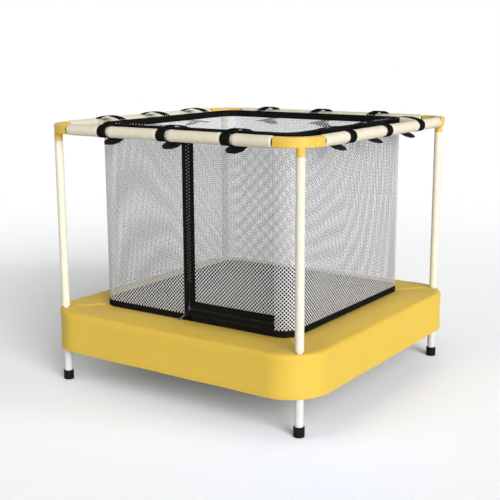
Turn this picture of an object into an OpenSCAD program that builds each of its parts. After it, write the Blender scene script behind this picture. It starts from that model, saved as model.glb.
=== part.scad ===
// Child's square trampoline with a net enclosure: a low steel frame on four legs, a sprung
// jumping mat, a padded cover with a skirt, and a foam-covered top frame that holds up the net.
// Millimetres, +Z up. The origin is on the floor under the centre. The door faces -Y.

/* [Base frame] */
// Half width of the base ring, from the centre to the tube's centreline
ring_half = 589; // [575:1:605]
// Bend radius of the base ring's corners, at the tube's centreline
ring_bend_r = 133; // [120:1:145]
// Height of the base ring's centreline above the floor
ring_z = 272; // [240:1:320]
// Outer diameter of the base ring's tube
ring_tube_d = 32; // [28:0.5:34]
// Wall of the base ring's tube
ring_tube_wall = 1.5; // [1:0.1:2.5]
// Straight length of a corner piece past its bend
corner_straight = 18; // [10:1:40]
// Length of the reduced end that plugs into a side tube
plug_length = 40; // [30:1:60]
// Gap all round a tube that plugs into another piece
tube_gap = 0.3; // [0.2:0.05:0.5]
// Wall of the sockets welded into the base ring's corners
socket_wall = 3; // [2:0.1:3.3]
// Depth that a leg or a post goes into the base ring's socket
socket_depth = 44; // [35:1:60]
// Web between a socket's leg bore and its post bore
socket_web = 4; // [3:0.5:8]
// Diameter of the screws in the base frame
screw_d = 6; // [4:0.5:8]

/* [Legs and feet] */
// Outer diameter of the leg tubes
leg_d = 32; // [28:0.5:33]
// Wall of the leg tubes
leg_wall = 1.5; // [1:0.1:2.5]
// Height of the rubber feet
foot_h = 38; // [25:1:60]
// Wall of the rubber feet
foot_wall = 3.8; // [2.5:0.1:6]
// Thickness of rubber under a leg tube
foot_sole = 6; // [3:0.5:12]

/* [Posts and top frame] */
// Distance from a post's axis out to the top rails' centreline
rail_out = 30; // [26:1:38]
// Height of the top rails' centreline above the floor
rail_z = 1018; // [900:1:1100]
// Outer diameter of the steel tube in the posts and top rails
pole_d = 22; // [19:0.5:24]
// Wall of the steel tube in the posts and top rails
pole_wall = 1.2; // [0.8:0.1:2]
// Wall of the foam sleeves on the posts
post_foam_wall = 4.7; // [3:0.1:6]
// Wall of the foam sleeves on the top rails
rail_foam_wall = 9.2; // [6:0.1:11]
// Width of a top connector, from its inner to its outer face
connector_w = 32; // [29:1:36]
// Height of a top connector's arms
connector_h = 36; // [31:1:42]
// Straight length of a connector's arm past its bend
connector_arm = 10; // [3:1:20]
// Depth that a top rail goes into a connector
rail_bore_depth = 28; // [20:1:32]
// Length of the round post socket below a connector's arms
connector_drop = 28; // [18:1:45]
// Depth that a post goes into a connector
post_bore_depth = 40; // [24:1:44]
// Radius of a connector's rounded edges
connector_edge_r = 4; // [2:0.5:6]
// Length of the black collar between a connector and the rail's foam
collar_l = 6; // [3:0.5:12]
// Wall of that collar
collar_wall = 4.2; // [2:0.1:5.5]
// Height of a post sleeve's lower end above the pad
post_foam_lift = 2; // [1.5:0.5:12]
// Radius of the rounded ends of the foam sleeves
foam_end_r = 2.5; // [1:0.25:2.8]

/* [Net] */
// Half width of the net enclosure, to the middle of the mesh
net_half = 444; // [430:1:455]
// Corner radius of the net enclosure, to the middle of the mesh
net_corner_r = 64; // [50:1:80]
// Height of the net's top edge above the top rails' centreline
net_over_rail = 18; // [8:1:30]
// Thickness of the mesh
mesh_t = 1.2; // [0.8:0.1:1.6]
// Thickness of the woven webbing that binds the net's edges
webbing_t = 1; // [0.8:0.1:1.6]
// Height of the webbing band round the net's top edge
band_h = 28; // [20:1:40]
// Height of the webbing hem round the net's bottom edge
hem_h = 26; // [18:1:36]
// Spacing of the net's openings along a row
net_pitch = 108; // [100:1:125]
// Width of the strands between the openings
strand_w = 8.5; // [6:0.5:14]
// Diagonal of the openings in the net's rounded corners
corner_gap = 62; // [40:1:70]
// Gap between fabric pieces that lie on each other
fabric_gap = 0.3; // [0.2:0.05:0.4]

/* [Door] */
// Height of the sill's zip above the net's bottom edge
sill_h = 51; // [40:1:80]
// Length of the sill's zip, from the upright zip to its stop
sill_zip_l = 319; // [260:1:350]
// Distance from the top rails' centreline down to the upright zip's top end
zip_under_rail = 50; // [48:1:90]
// Width of the black tape on each side of the zip
tape_w = 25; // [18:1:35]
// Height of the black tape along the door's bottom edge
door_hem_h = 28; // [18:1:40]
// Gap between the two tapes that the slider's web runs in
zip_gap = 2; // [1.8:0.1:3]
// Width of a zip slider across the zip
slider_w = 9; // [7:0.5:11]
// Length of a zip slider along the zip
slider_l = 14; // [10:0.5:18]
// Thickness of a slider's front and back plates
slider_plate_t = 1.6; // [1.2:0.1:2.5]
// Diameter of the bar that a zip pull hangs on
pull_bar_d = 1.6; // [1.2:0.1:2]
// Distance from the zips' corner up to the middle of the upright zip's closed slider
upright_rest = 16; // [15:0.5:20]
// Distance from the zips' corner across to the middle of the sill zip's closed slider
sill_rest = 8; // [8:0.5:12]
// Length of the upright zip's pull, from its bar
short_pull_l = 22; // [16:1:24]
// Length of the sill zip's pull, from its bar
long_pull_l = 71; // [40:1:72]
// Angle at which the sill zip's pull leans sideways
pull_lean = 41; // [30:1:50]
// Angle at which the sill zip's pull leans out over the pad
pull_tilt = 28; // [28:1:45]
// Width of a zip pull's tab
pull_w = 6.5; // [5:0.5:9]

/* [Straps] */
// Spacing of the three straps on each side
strap_pitch = 280; // [200:1:300]
// Width of a strap
strap_w = 42; // [30:1:50]
// Thickness of a strap
strap_t = 1.8; // [1.2:0.1:2.5]
// Slope at which a strap's top run leaves the rail
strap_rise = 20; // [12:1:28]
// Distance from the top rails' centreline down to where a strap meets the net
strap_low = 28; // [26:1:34]
// Width of the closing flap under a strap
flap_w = 77; // [50:1:90]
// Thickness of the closing flap
flap_t = 2.4; // [1.6:0.1:3.2]
// Distance from the rail's centreline in to the closing flap's sewn root
flap_root = 68; // [60:1:80]
// Length of the closing flap
flap_l = 53; // [40:1:60]
// Angle at which the closing flap droops
flap_tilt = 24; // [10:1:40]
// Length of the flap's cut corners
flap_chamfer = 17; // [8:1:22]

/* [Padded cover] */
// Thickness of the foam over the base ring
pad_foam_t = 12; // [8:0.5:20]
// Thickness of the cover
cover_t = 2.2; // [1.5:0.1:3]
// Gap between the base ring's sockets and the skirt
skirt_gap = 2.4; // [0.8:0.1:4]
// Depth of the skirt, from the pad's top to the hem
skirt_h = 161; // [120:1:190]
// Radius of the cover's soft outer edge
pad_edge_r = 22; // [14:1:28]
// Rise of the pad's crown
pad_crown = 3; // [0:0.5:5]
// Distance that the pad reaches inwards past the middle of the mesh
pad_in = 4; // [3:0.5:8]

/* [Jumping mat and springs] */
// Half width of the jumping mat
mat_half = 462; // [455:1:470]
// Corner radius of the jumping mat
mat_corner_r = 60; // [40:1:80]
// Thickness of the jumping mat
mat_t = 3; // [2:0.1:4]
// Width of the webbing folded over the mat's edge
edging_w = 34; // [20:1:45]
// Springs on each side
springs_per_side = 8; // [5:1:9]
// Spacing of the springs
spring_pitch = 108; // [80:1:112]
// Outer diameter of a spring
spring_d = 13; // [10:0.5:16]
// Diameter of a spring's wire
spring_wire_d = 2.4; // [1.8:0.1:3]
// Diameter of a ring's wire
ring_wire_d = 3; // [2.5:0.1:4]
// Width of a ring, between the middles of its side bars
ring_w = 31; // [28:1:40]
// Length of a ring, between the middles of its inner and outer bars
ring_l = 16; // [14:1:20]
// Width of the webbing loop that holds a ring
loop_w = 27; // [20:1:27]
// Length of the webbing loop that holds a ring
loop_l = 10; // [8:0.5:12]

/* [Hidden] */
$fn = 96;
eps = 0.01;
SIDES = ["front", "right", "back", "left"];
CORNERS = ["back_right", "back_left", "front_left", "front_right"];

// Overshoot of a cut past the face that it opens
cut = 1;

// Base frame
socket_rise = 2;
screw_clear = 4;
shoulder_t = 3;
mid_arc = 1 - sqrt(1 / 2);
bend_mid = ring_half - ring_bend_r;
post_half = ring_half - mid_arc * ring_bend_r;
ring_bore_d = ring_tube_d - 2 * ring_tube_wall;
plug_d = ring_bore_d - 2 * tube_gap;
plug_bore_d = plug_d - 2 * ring_tube_wall;
shoulder = bend_mid - corner_straight;
side_tube_half = shoulder - tube_gap;
socket_d = leg_d + 2 * tube_gap + 2 * socket_wall;
socket_top = ring_z + ring_tube_d / 2 + socket_rise;
socket_bottom = ring_z - socket_depth;
leg_top = ring_z - socket_web / 2 - tube_gap;
pole_bore_d = pole_d + 2 * tube_gap;
pole_bottom = ring_z + socket_web / 2 + tube_gap;
screw_hole_d = screw_d + 2 * tube_gap;
screw_head_d = 2 * screw_d;
screw_head_h = 0.6 * screw_d;
side_screw_at = shoulder - plug_length / 2;
leg_screw_z = socket_bottom + socket_depth / 3;

// Legs and feet
foot_bore_d = leg_d + 2 * tube_gap;
foot_d = foot_bore_d + 2 * foot_wall;
foot_chamfer = foot_wall / 3;
foot_groove = foot_wall / 4;

// Padded cover
pad_lift = 0.5;
post_hole_gap = 0.5;
pad_bottom = ring_z + ring_tube_d / 2 + pad_lift;
pad_foam_top = pad_bottom + pad_foam_t;
pad_top = pad_foam_top + fabric_gap + cover_t;
skirt_in = ring_half + socket_d / 2 + skirt_gap;
skirt_in_r = ring_bend_r + socket_d / 2 + skirt_gap;
skirt_half = skirt_in + cover_t;
skirt_r = skirt_in_r + cover_t;
skirt_bottom = pad_top - skirt_h;
edge_half = skirt_half - pad_edge_r;
edge_corner_r = skirt_r - pad_edge_r;
pad_in_half = net_half - pad_in;
pad_in_r = net_corner_r - pad_in;
net_seat_w = 2 * pad_in + mesh_t;
post_notch_d = socket_d + 2 * tube_gap;
post_hole_d = pole_bore_d + 2 * post_hole_gap;

// Posts and top frame
rail_half = post_half + rail_out;
connector_r = rail_out / mid_arc;
connector_mid = rail_half - connector_r;
arm_end = connector_mid - connector_arm;
connector_bottom = rail_z - connector_h / 2;
socket_mouth = connector_bottom - connector_drop;
post_foam_d = pole_bore_d + 2 * post_foam_wall;
rail_foam_d = pole_bore_d + 2 * rail_foam_wall;
collar_d = pole_bore_d + 2 * collar_wall;
post_top = socket_mouth + post_bore_depth - tube_gap;
rail_tube_half = arm_end + rail_bore_depth - tube_gap;
collar_out = arm_end - tube_gap;
rail_foam_half = collar_out - collar_l - tube_gap;

// Net
skin_in = mesh_t / 2 + fabric_gap;
skin_out = skin_in + webbing_t;
net_bottom = pad_top + fabric_gap;
net_top = rail_z + net_over_rail;
mesh_bottom = net_bottom + webbing_t + fabric_gap;
mesh_top = net_top - webbing_t - fabric_gap;
hem_top = net_bottom + hem_h;
band_bottom = net_top - band_h;
net_straight = net_half - net_corner_r;
panel_half = net_straight - fabric_gap / 2;
gap_half = (net_pitch - strand_w * sqrt(2)) / 2;
gap_margin = strand_w / sqrt(2);

// Door
zip_z = net_bottom + sill_h;
zip_top = rail_z - zip_under_rail;
zip_edge = zip_gap / 2;
tape_out = zip_edge + tape_w;
door_hem_top = zip_z + zip_edge + door_hem_h;
fold_gap = 0.3;
fold_tip = 8;
fold_len = norm([sill_zip_l, zip_top - zip_z]);
fold_n = [(zip_top - zip_z) / fold_len, sill_zip_l / fold_len];

// Sliders and pulls
slider_gap = 0.3;
slider_face = skin_out + slider_gap;
web_gap = 0.4;
web_inset = 2;
web_w = zip_gap - 2 * web_gap;
web_l = slider_l - 2 * web_inset;
bar_stand = 2.6;
bar_out = slider_face + slider_plate_t + bar_stand;
eye_gap = 0.3;
eye_wall = 1.1;
eye_bore_d = pull_bar_d + 2 * eye_gap;
eye_d = eye_bore_d + 2 * eye_wall;
eye_w = 3;
ear_t = 1.5;
ear_gap = 0.3;
ear_wall = 1;
ear_d = pull_bar_d + 2 * ear_wall;
short_cord_l = 6;
neck_l = 3.6;
cord_d = 2.4;
tab_t = 1.6;

// Straps
strap_r = rail_foam_d / 2 + fabric_gap + strap_t / 2;
strap_end_u = rail_half - net_half - skin_out - fabric_gap;
strap_seat = 4;
strap_top_v = net_over_rail - strap_seat;
strap_low_p = [strap_end_u, -strap_low];
strap_low_d = norm(strap_low_p);
low_tangent = 360 + atan2(strap_low_p.y, strap_low_p.x) - acos(strap_r / strap_low_d);
low_run = sqrt(strap_low_d * strap_low_d - strap_r * strap_r);
top_tangent = 90 + strap_rise;
top_p = [strap_end_u, strap_top_v];
top_n = [cos(top_tangent), sin(top_tangent)];
top_r = pow(norm(top_p - strap_r * top_n), 2) / (2 * (strap_r - top_p * top_n));
top_c = (strap_r - top_r) * top_n;
top_start = atan2(top_p.y - top_c.y, top_p.x - top_c.x);
low_p = strap_r * [cos(low_tangent), sin(low_tangent)];
low_slope = (strap_low_p.y - low_p.y) / (strap_low_p.x - low_p.x);
flap_hang = strap_t / 2 + fabric_gap + flap_t / 2;
flap_v = low_p.y + low_slope * (flap_root - low_p.x) - flap_hang;
strap_step = 7.5;

// Mat and springs
loop_wall = 2;
wire_gap = 0.4;
spring_neck = 4;
spring_tail = 14;
spring_hole_gap = 1;
ring_tunnel_d = ring_wire_d + 2 * fabric_gap;
loop_t = ring_tunnel_d + 2 * loop_wall;
edging_out = mat_half + fabric_gap + webbing_t;
ring_in_u = edging_out + loop_l / 2;
ring_out_u = ring_in_u + ring_l;
hook_r = ring_wire_d / 2 + wire_gap + spring_wire_d / 2;
spring_start = ring_out_u + hook_r + spring_neck;
spring_end = ring_half - ring_tube_d / 2 - spring_tail;
spring_hole_d = spring_wire_d + 2 * spring_hole_gap;
catch_l = 6;
catch_wall = sqrt(pow(ring_bore_d / 2, 2) - catch_l * catch_l);
catch_u = ring_half - catch_wall + wire_gap + spring_wire_d / 2;

// ---- helpers ----

// Places a child that is made for the +X +Y corner at corner number k
module at_corner(k) {
    rotate([0, 0, 90 * k])
        children();
}

// Places a child that is made for the front side at side number k
module at_side(k) {
    rotate([0, 0, 90 * k])
        children();
}

// Square of half width h whose corners have the radius r
module rounded_square(h, r) {
    square([2 * h, 2 * (h - r)], center = true);
    square([2 * (h - r), 2 * h], center = true);
    for (x = [-1, 1], y = [-1, 1])
        translate([x * (h - r), y * (h - r)])
            circle(r);
}

// Upright strip that follows a rounded square, from offset a to offset b outside it
module strip_ring(h, r, a, b) {
    difference() {
        rounded_square(h + b, r + b);
        rounded_square(h + a, r + a);
    }
}

// Rectangle of w by h with corners of the radius r
module rounded_section(w, h, r) {
    square([w, h - 2 * r], center = true);
    square([w - 2 * r, h], center = true);
    for (x = [-1, 1], y = [-1, 1])
        translate([x * (w / 2 - r), y * (h / 2 - r)])
            circle(r, $fn = 48);
}

// Straight tube along +Z
module tube(d, wall, l) {
    difference() {
        cylinder(d = d, h = l);
        translate([0, 0, -cut])
            cylinder(d = d - 2 * wall, h = l + 2 * cut);
    }
}

// Foam sleeve along +Z, with rounded outer ends
module foam_sleeve(d, bore, l) {
    rotate_extrude()
        difference() {
            union() {
                translate([bore / 2, foam_end_r])
                    square([(d - bore) / 2, l - 2 * foam_end_r]);
                translate([bore / 2, 0])
                    square([(d - bore) / 2 - foam_end_r, l]);
                for (z = [foam_end_r, l - foam_end_r])
                    translate([d / 2 - foam_end_r, z])
                        circle(foam_end_r, $fn = 48);
            }
            translate([0, -cut])
                square([bore / 2, l + 2 * cut]);
        }
}

// Turns a solid made in a u-v plane, with its width along Z, to u = +Y, v = +Z, width = X
module across_rail() {
    rotate([90, 0, 90])
        children();
}

// Lays a 2D outline drawn in x and z as an upright panel of thickness t at y = -net_half
module front_panel(t) {
    translate([0, t / 2 - net_half, 0])
        rotate([90, 0, 0])
            linear_extrude(t)
                children();
}

// ---- base frame ----

// Bent run of a frame corner with its two plugs: once for the outside, once for the bore
module corner_run(d, l, d_plug, l_plug) {
    translate([bend_mid, bend_mid, 0])
        rotate_extrude(angle = 90)
            translate([ring_bend_r, 0])
                circle(d = d);
    for (m = [0, 1])
        mirror([m, -m, 0])
            translate([ring_half, bend_mid, 0])
                rotate([90, 0, 0]) {
                    cylinder(d = d, h = l);
                    cylinder(d = d_plug, h = l_plug);
                }
}

// Outside of the leg and post socket that is welded into a frame corner
module socket_blank() {
    translate([post_half, post_half, socket_bottom - ring_z])
        cylinder(d = socket_d, h = socket_top - socket_bottom);
}

module frame_corner() {
    plug_end = corner_straight + plug_length;
    color("white")
        translate([0, 0, ring_z])
            difference() {
                union() {
                    corner_run(ring_tube_d, corner_straight, plug_d, plug_end);
                    socket_blank();
                }
                difference() {
                    corner_run(ring_bore_d, corner_straight - shoulder_t, plug_bore_d, plug_end + cut);
                    socket_blank();
                }
                translate([post_half, post_half, -socket_depth - cut])
                    cylinder(d = leg_d + 2 * tube_gap, h = socket_depth + cut - socket_web / 2);
                translate([post_half, post_half, socket_web / 2])
                    cylinder(d = pole_bore_d, h = socket_depth);
                translate([post_half, post_half, leg_screw_z - ring_z])
                    leg_screw_hole();
                for (m = [0, 1])
                    mirror([m, -m, 0])
                        translate([ring_half, side_screw_at, 0])
                            cylinder(d = screw_hole_d, h = 2 * ring_tube_d, center = true);
            }
}

module leg_screw_hole() {
    rotate([0, 0, -45])
        rotate([90, 0, 90])
            cylinder(d = screw_hole_d, h = 2 * socket_d, center = true);
}

module frame_side() {
    color("white")
        difference() {
            translate([-side_tube_half, -ring_half, ring_z])
                rotate([0, 90, 0])
                    tube(ring_tube_d, ring_tube_wall, 2 * side_tube_half);
            for (x = [-1, 1])
                translate([x * side_screw_at, -ring_half, ring_z])
                    cylinder(d = screw_hole_d, h = 2 * ring_tube_d, center = true);
            for (i = [0 : springs_per_side - 1])
                translate([spring_x(i), spring_hole_d - ring_half, ring_z])
                    rotate([-90, 0, 0])
                        cylinder(d = spring_hole_d, h = ring_tube_d);
        }
}

module screw(l) {
    cylinder(d = screw_d, h = l);
    translate([0, 0, -screw_head_h])
        cylinder(d = screw_head_d, h = screw_head_h);
}

// Side screws come up through each plug joint; leg screws go through a socket and its leg
module frame_screws() {
    under_tube = ring_tube_d / 2 + tube_gap;
    beside_socket = socket_d / 2 + tube_gap;
    color("silver")
        for (k = [0 : 3]) {
            at_side(k)
                for (x = [-1, 1])
                    translate([x * side_screw_at, -ring_half, ring_z - under_tube])
                        screw(under_tube + ring_bore_d / 2 - screw_clear);
            at_corner(k)
                translate([post_half, post_half, leg_screw_z])
                    rotate([0, 0, -45])
                        rotate([90, 0, 90])
                            translate([0, 0, -beside_socket])
                                screw(2 * beside_socket + screw_clear);
        }
}

// ---- legs and feet ----

module leg() {
    color("white")
        translate([post_half, post_half, 0])
            difference() {
                translate([0, 0, foot_sole + tube_gap])
                    tube(leg_d, leg_wall, leg_top - foot_sole - tube_gap);
                translate([0, 0, leg_screw_z])
                    leg_screw_hole();
            }
}

module foot() {
    translate([post_half, post_half, 0])
        rotate_extrude()
            polygon([
                [0, 0],
                [foot_d / 2 - foot_chamfer, 0],
                [foot_d / 2, foot_chamfer],
                [foot_d / 2, foot_sole],
                [foot_d / 2 - foot_groove, foot_sole + foot_groove],
                [foot_d / 2 - foot_groove, foot_sole + 3 * foot_groove],
                [foot_d / 2, foot_sole + 4 * foot_groove],
                [foot_d / 2, foot_h - foot_chamfer],
                [foot_d / 2 - foot_chamfer, foot_h],
                [foot_bore_d / 2, foot_h],
                [foot_bore_d / 2, foot_sole],
                [0, foot_sole]
            ]);
}

module feet() {
    color("#1c1c1b")
        for (k = [0 : 3])
            at_corner(k)
                foot();
}

// ---- posts and top frame ----

module post_tube() {
    color("white")
        translate([post_half, post_half, pole_bottom])
            tube(pole_d, pole_wall, post_top - pole_bottom);
}

module post_foam() {
    color("#f6ecd2")
        translate([post_half, post_half, pad_top + post_foam_lift])
            foam_sleeve(
                post_foam_d,
                pole_bore_d,
                socket_mouth - pad_top - post_foam_lift - tube_gap
            );
}

module connector_body() {
    translate([connector_mid, connector_mid, rail_z])
        rotate_extrude(angle = 90)
            translate([connector_r, 0])
                rounded_section(connector_w, connector_h, connector_edge_r);
    for (m = [0, 1])
        mirror([m, -m, 0])
            translate([rail_half, connector_mid, rail_z])
                rotate([90, 0, 0])
                    linear_extrude(connector_arm)
                        rounded_section(connector_w, connector_h, connector_edge_r);
    translate([post_half, post_half, socket_mouth])
        cylinder(d = post_foam_d, h = connector_drop + connector_edge_r);
}

module top_connector() {
    color("#f2c94e")
        difference() {
            connector_body();
            for (m = [0, 1])
                mirror([m, -m, 0])
                    translate([rail_half, arm_end + rail_bore_depth, rail_z])
                        rotate([90, 0, 0])
                            cylinder(d = pole_bore_d, h = rail_bore_depth + cut);
            translate([post_half, post_half, socket_mouth - cut])
                cylinder(d = pole_bore_d, h = post_bore_depth + cut);
        }
}

module rail_tubes() {
    color("silver")
        for (k = [0 : 3])
            at_side(k)
                translate([-rail_tube_half, -rail_half, rail_z])
                    rotate([0, 90, 0])
                        tube(pole_d, pole_wall, 2 * rail_tube_half);
}

module rail_collars() {
    color("#1c1c1b")
        for (k = [0 : 3])
            at_side(k)
                for (m = [0, 1])
                    mirror([m, 0, 0])
                        translate([collar_out - collar_l, -rail_half, rail_z])
                            rotate([0, 90, 0])
                                tube(collar_d, collar_wall, collar_l);
}

module rail_foam() {
    color("#f6ecd2")
        translate([-rail_foam_half, -rail_half, rail_z])
            rotate([0, 90, 0])
                foam_sleeve(rail_foam_d, pole_bore_d, 2 * rail_foam_half);
}

// ---- straps ----

// Points on an arc round c, from angle a to angle b in steps of about strap_step degrees
function arc_points(c, r, a, b) =
    let (n = ceil(abs(b - a) / strap_step))
    [for (i = [0 : n]) let (t = a + (b - a) * i / n) c + r * [cos(t), sin(t)]];

// One face of a strap at the distance off outside its middle line, from the net over and
// round the rail and back to the net, drawn in u and v
function strap_face(off) = concat(
    arc_points(top_c, top_r + off, top_start, top_tangent),
    arc_points([0, 0], strap_r + off, top_tangent + strap_step, low_tangent),
    [(strap_r + off) * [cos(low_tangent), sin(low_tangent)]
        + low_run * [-sin(low_tangent), cos(low_tangent)]]
);

function reversed(list) = [for (i = [len(list) - 1 : -1 : 0]) list[i]];

module strap() {
    translate([0, -rail_half, rail_z])
        across_rail()
            translate([0, 0, -strap_w / 2])
                linear_extrude(strap_w)
                    polygon(concat(strap_face(strap_t / 2), reversed(strap_face(-strap_t / 2))));
}

module net_straps() {
    color("#1c1c1b")
        for (i = [-1 : 1])
            translate([i * strap_pitch, 0, 0])
                strap();
}

module flap() {
    half = flap_w / 2;
    translate([0, flap_root - rail_half, rail_z + flap_v])
        rotate([flap_tilt, 0, 0])
            translate([0, 0, -flap_t / 2])
                linear_extrude(flap_t)
                    polygon([
                        [-half, 0],
                        [-half, flap_chamfer - flap_l],
                        [flap_chamfer - half, -flap_l],
                        [half - flap_chamfer, -flap_l],
                        [half, flap_chamfer - flap_l],
                        [half, 0]
                    ]);
}

module strap_flaps() {
    color("#3a3030")
        for (k = [0 : 3])
            at_side(k)
                for (i = [-1 : 1])
                    translate([i * strap_pitch, 0, 0])
                        flap();
}

// ---- net ----

// Diamond openings, drawn in x and z, that fit between x0 and x1 and between z0 and z1.
// Every second row is moved half a pitch. beside keeps them off the door's fold: 1 for the
// flap's side, -1 for the fixed side, 0 where there is no fold.
module net_gaps(x0, x1, z0, z1, beside) {
    reach = gap_half + gap_margin;
    cols = floor((x1 - x0 - 2 * reach) / net_pitch);
    rows = floor((z1 - z0 - 2 * reach) / (net_pitch / 2));
    first_x = (x0 + x1) / 2 - cols * net_pitch / 2;
    first_z = (z0 + z1) / 2 - rows * net_pitch / 4;
    for (j = [0 : rows], i = [0 : cols - j % 2]) {
        c = [first_x + (i + (j % 2) / 2) * net_pitch, first_z + j * net_pitch / 2];
        if (beside == 0 || -beside * fold_side(c) > fold_reach())
            translate(c)
                circle(gap_half, $fn = 4);
    }
}

// Distance of a point from the door's fold line, positive on the fixed side
function fold_side(p) = (p - [0, zip_top]) * fold_n;

// Room that a diamond opening needs beside the fold line
function fold_reach() = gap_half * max(fold_n.x, fold_n.y) + gap_margin;

// One flat side of the net, open where the mesh is open
module net_wall() {
    color("#e9e9e7")
        front_panel(mesh_t)
            difference() {
                translate([-panel_half, mesh_bottom])
                    square([2 * panel_half, mesh_top - mesh_bottom]);
                net_gaps(-panel_half, panel_half, hem_top, band_bottom, 0);
            }
}

module net_front() {
    right = -zip_edge - webbing_t - fabric_gap;
    color("#e9e9e7")
        front_panel(mesh_t)
            difference() {
                translate([-panel_half, mesh_bottom])
                    square([right + panel_half, mesh_top - mesh_bottom]);
                net_gaps(-panel_half, -tape_out, hem_top, band_bottom, 0);
            }
}

// Half of the door's plane beside its fold line: side is 1 for the flap, -1 for the fixed part
module fold_half(side) {
    far = 2 * net_half;
    shift = -side * fold_gap / 2 / fold_n.x;
    along = [sill_zip_l, zip_z - zip_top] / fold_len;
    a = [shift, zip_top] - far * along;
    b = [shift, zip_top] + 2 * far * along;
    polygon([a, b, b - side * far * fold_n, a - side * far * fold_n]);
}

// The flap's half of the door, less its thin tip at the top of the upright zip: as the flap
// turned, the tip would cut into the tape beside it
module flap_half() {
    difference() {
        fold_half(1);
        translate([0, zip_top - fold_tip])
            square(2 * net_half);
    }
}

// The door's plane up to its zip lines, without the fold: drawn in x and z
module door_field(inset) {
    translate([zip_edge + inset, zip_z + zip_edge + inset])
        square([panel_half - zip_edge - inset, band_bottom - fabric_gap - zip_z - zip_edge - inset]);
}

// The L-shaped tape on the door's edges
module door_tape_field() {
    difference() {
        door_field(0);
        translate([tape_out, door_hem_top])
            square(2 * net_half);
    }
}

module net_door_fixed() {
    fold_in = webbing_t + fabric_gap;
    left = -zip_edge - webbing_t;
    color("#e9e9e7")
        front_panel(mesh_t)
            difference() {
                union() {
                    intersection() {
                        door_field(fold_in);
                        fold_half(-1);
                    }
                    translate([left, band_bottom - cut])
                        square([panel_half - left, mesh_top - band_bottom + cut]);
                }
                net_gaps(tape_out, panel_half, door_hem_top, band_bottom, -1);
            }
}

module net_door_flap() {
    fold_in = webbing_t + fabric_gap;
    color("#e9e9e7")
        front_panel(mesh_t)
            difference() {
                intersection() {
                    door_field(fold_in);
                    flap_half();
                }
                net_gaps(tape_out, panel_half, door_hem_top, band_bottom, 1);
            }
}

module net_corners() {
    rows = floor((band_bottom - hem_top - 2 * gap_margin) / net_pitch);
    first_z = (hem_top + band_bottom) / 2 - (rows - 1) * net_pitch / 2;
    turn = fabric_gap / 2 / net_corner_r * 180 / PI;
    color("#e9e9e7")
        for (k = [0 : 3])
            at_corner(k)
                translate([net_straight, net_straight, 0])
                    difference() {
                        rotate([0, 0, turn])
                            rotate_extrude(angle = 90 - 2 * turn)
                                translate([net_corner_r - mesh_t / 2, mesh_bottom])
                                    square([mesh_t, mesh_top - mesh_bottom]);
                        for (j = [0 : rows - 1])
                            translate([0, 0, first_z + j * net_pitch])
                                rotate([0, 0, 45])
                                    rotate([0, 90, 0])
                                        cylinder(d = corner_gap, h = 2 * net_corner_r, $fn = 4);
                    }
}

// Webbing folded over the net's edge: two skins joined by a bridge of the webbing's thickness
module binding(h) {
    difference() {
        linear_extrude(h)
            strip_ring(net_half, net_corner_r, -skin_out, skin_out);
        translate([0, 0, -cut])
            linear_extrude(h - webbing_t + cut)
                strip_ring(net_half, net_corner_r, -skin_in, skin_in);
    }
}

module net_top_band() {
    color("#1c1c1b")
        translate([0, 0, band_bottom])
            binding(band_h);
}

module net_bottom_hem() {
    color("#1c1c1b")
        translate([0, 0, hem_top])
            mirror([0, 0, 1])
                binding(hem_h);
}

// ---- door ----

module door_sill() {
    left = -zip_edge;
    top = zip_z - zip_edge;
    bottom = hem_top + fabric_gap;
    color("#1c1c1b") {
        front_panel(2 * skin_out)
            translate([left, bottom])
                square([panel_half - left, top - bottom]);
        front_panel(mesh_t)
            translate([left, mesh_bottom])
                square([panel_half - left, bottom - mesh_bottom + cut]);
    }
}

// Double tape over a mesh edge: the outline of the tape less the slot that holds the mesh
module double_tape() {
    difference() {
        front_panel(2 * skin_out)
            children(0);
        front_panel(2 * skin_in)
            children(1);
    }
}

module zip_tape_net() {
    left = -zip_edge - tape_w;
    bottom = hem_top + fabric_gap;
    top = band_bottom - fabric_gap;
    color("#1c1c1b") {
        double_tape() {
            translate([left, bottom])
                square([tape_w - fabric_gap, top - bottom]);
            translate([left - cut, bottom - cut])
                square([tape_w - fabric_gap - webbing_t + cut, top - bottom + 2 * cut]);
        }
        double_tape() {
            intersection() {
                door_tape_field();
                fold_half(-1);
            }
            intersection() {
                door_field(webbing_t);
                fold_half(-1);
            }
        }
    }
}

module zip_tape_door() {
    color("#1c1c1b")
        double_tape() {
            intersection() {
                door_tape_field();
                flap_half();
            }
            intersection() {
                door_field(webbing_t);
                fold_half(1);
            }
        }
}

// Zip slider: two plates that hold the tapes between them, the web that runs between the
// tapes, and two ears with the bar that the pull hangs on. It sits at x = 0, z = 0.
module slider(size_x, size_z, web_x, web_z) {
    plate_out = slider_face + slider_plate_t;
    ear_at = eye_w / 2 + ear_gap + ear_t / 2;
    color("#2a2a2a")
        translate([0, -net_half, 0]) {
            for (y = [-plate_out, slider_face])
                translate([-size_x / 2, y, -size_z / 2])
                    cube([size_x, slider_plate_t, size_z]);
            cube([web_x, 2 * slider_face + slider_plate_t, web_z], center = true);
            for (x = [-ear_at, ear_at]) {
                translate([x - ear_t / 2, -bar_out, 0])
                    rotate([0, 90, 0])
                        cylinder(d = ear_d, h = ear_t, $fn = 32);
                translate([x - ear_t / 2, -bar_out, -ear_d / 2])
                    cube([ear_t, bar_out - slider_face - slider_plate_t / 2, ear_d]);
            }
            translate([-ear_at, -bar_out, 0])
                rotate([0, 90, 0])
                    cylinder(d = pull_bar_d, h = 2 * ear_at, $fn = 32);
        }
}

module zip_slider_upright() {
    translate([0, 0, zip_z + upright_rest])
        slider(slider_w, slider_l, web_w, web_l);
}

module zip_slider_sill() {
    translate([sill_rest, 0, zip_z])
        slider(slider_l, slider_w, web_l, web_w);
}

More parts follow.
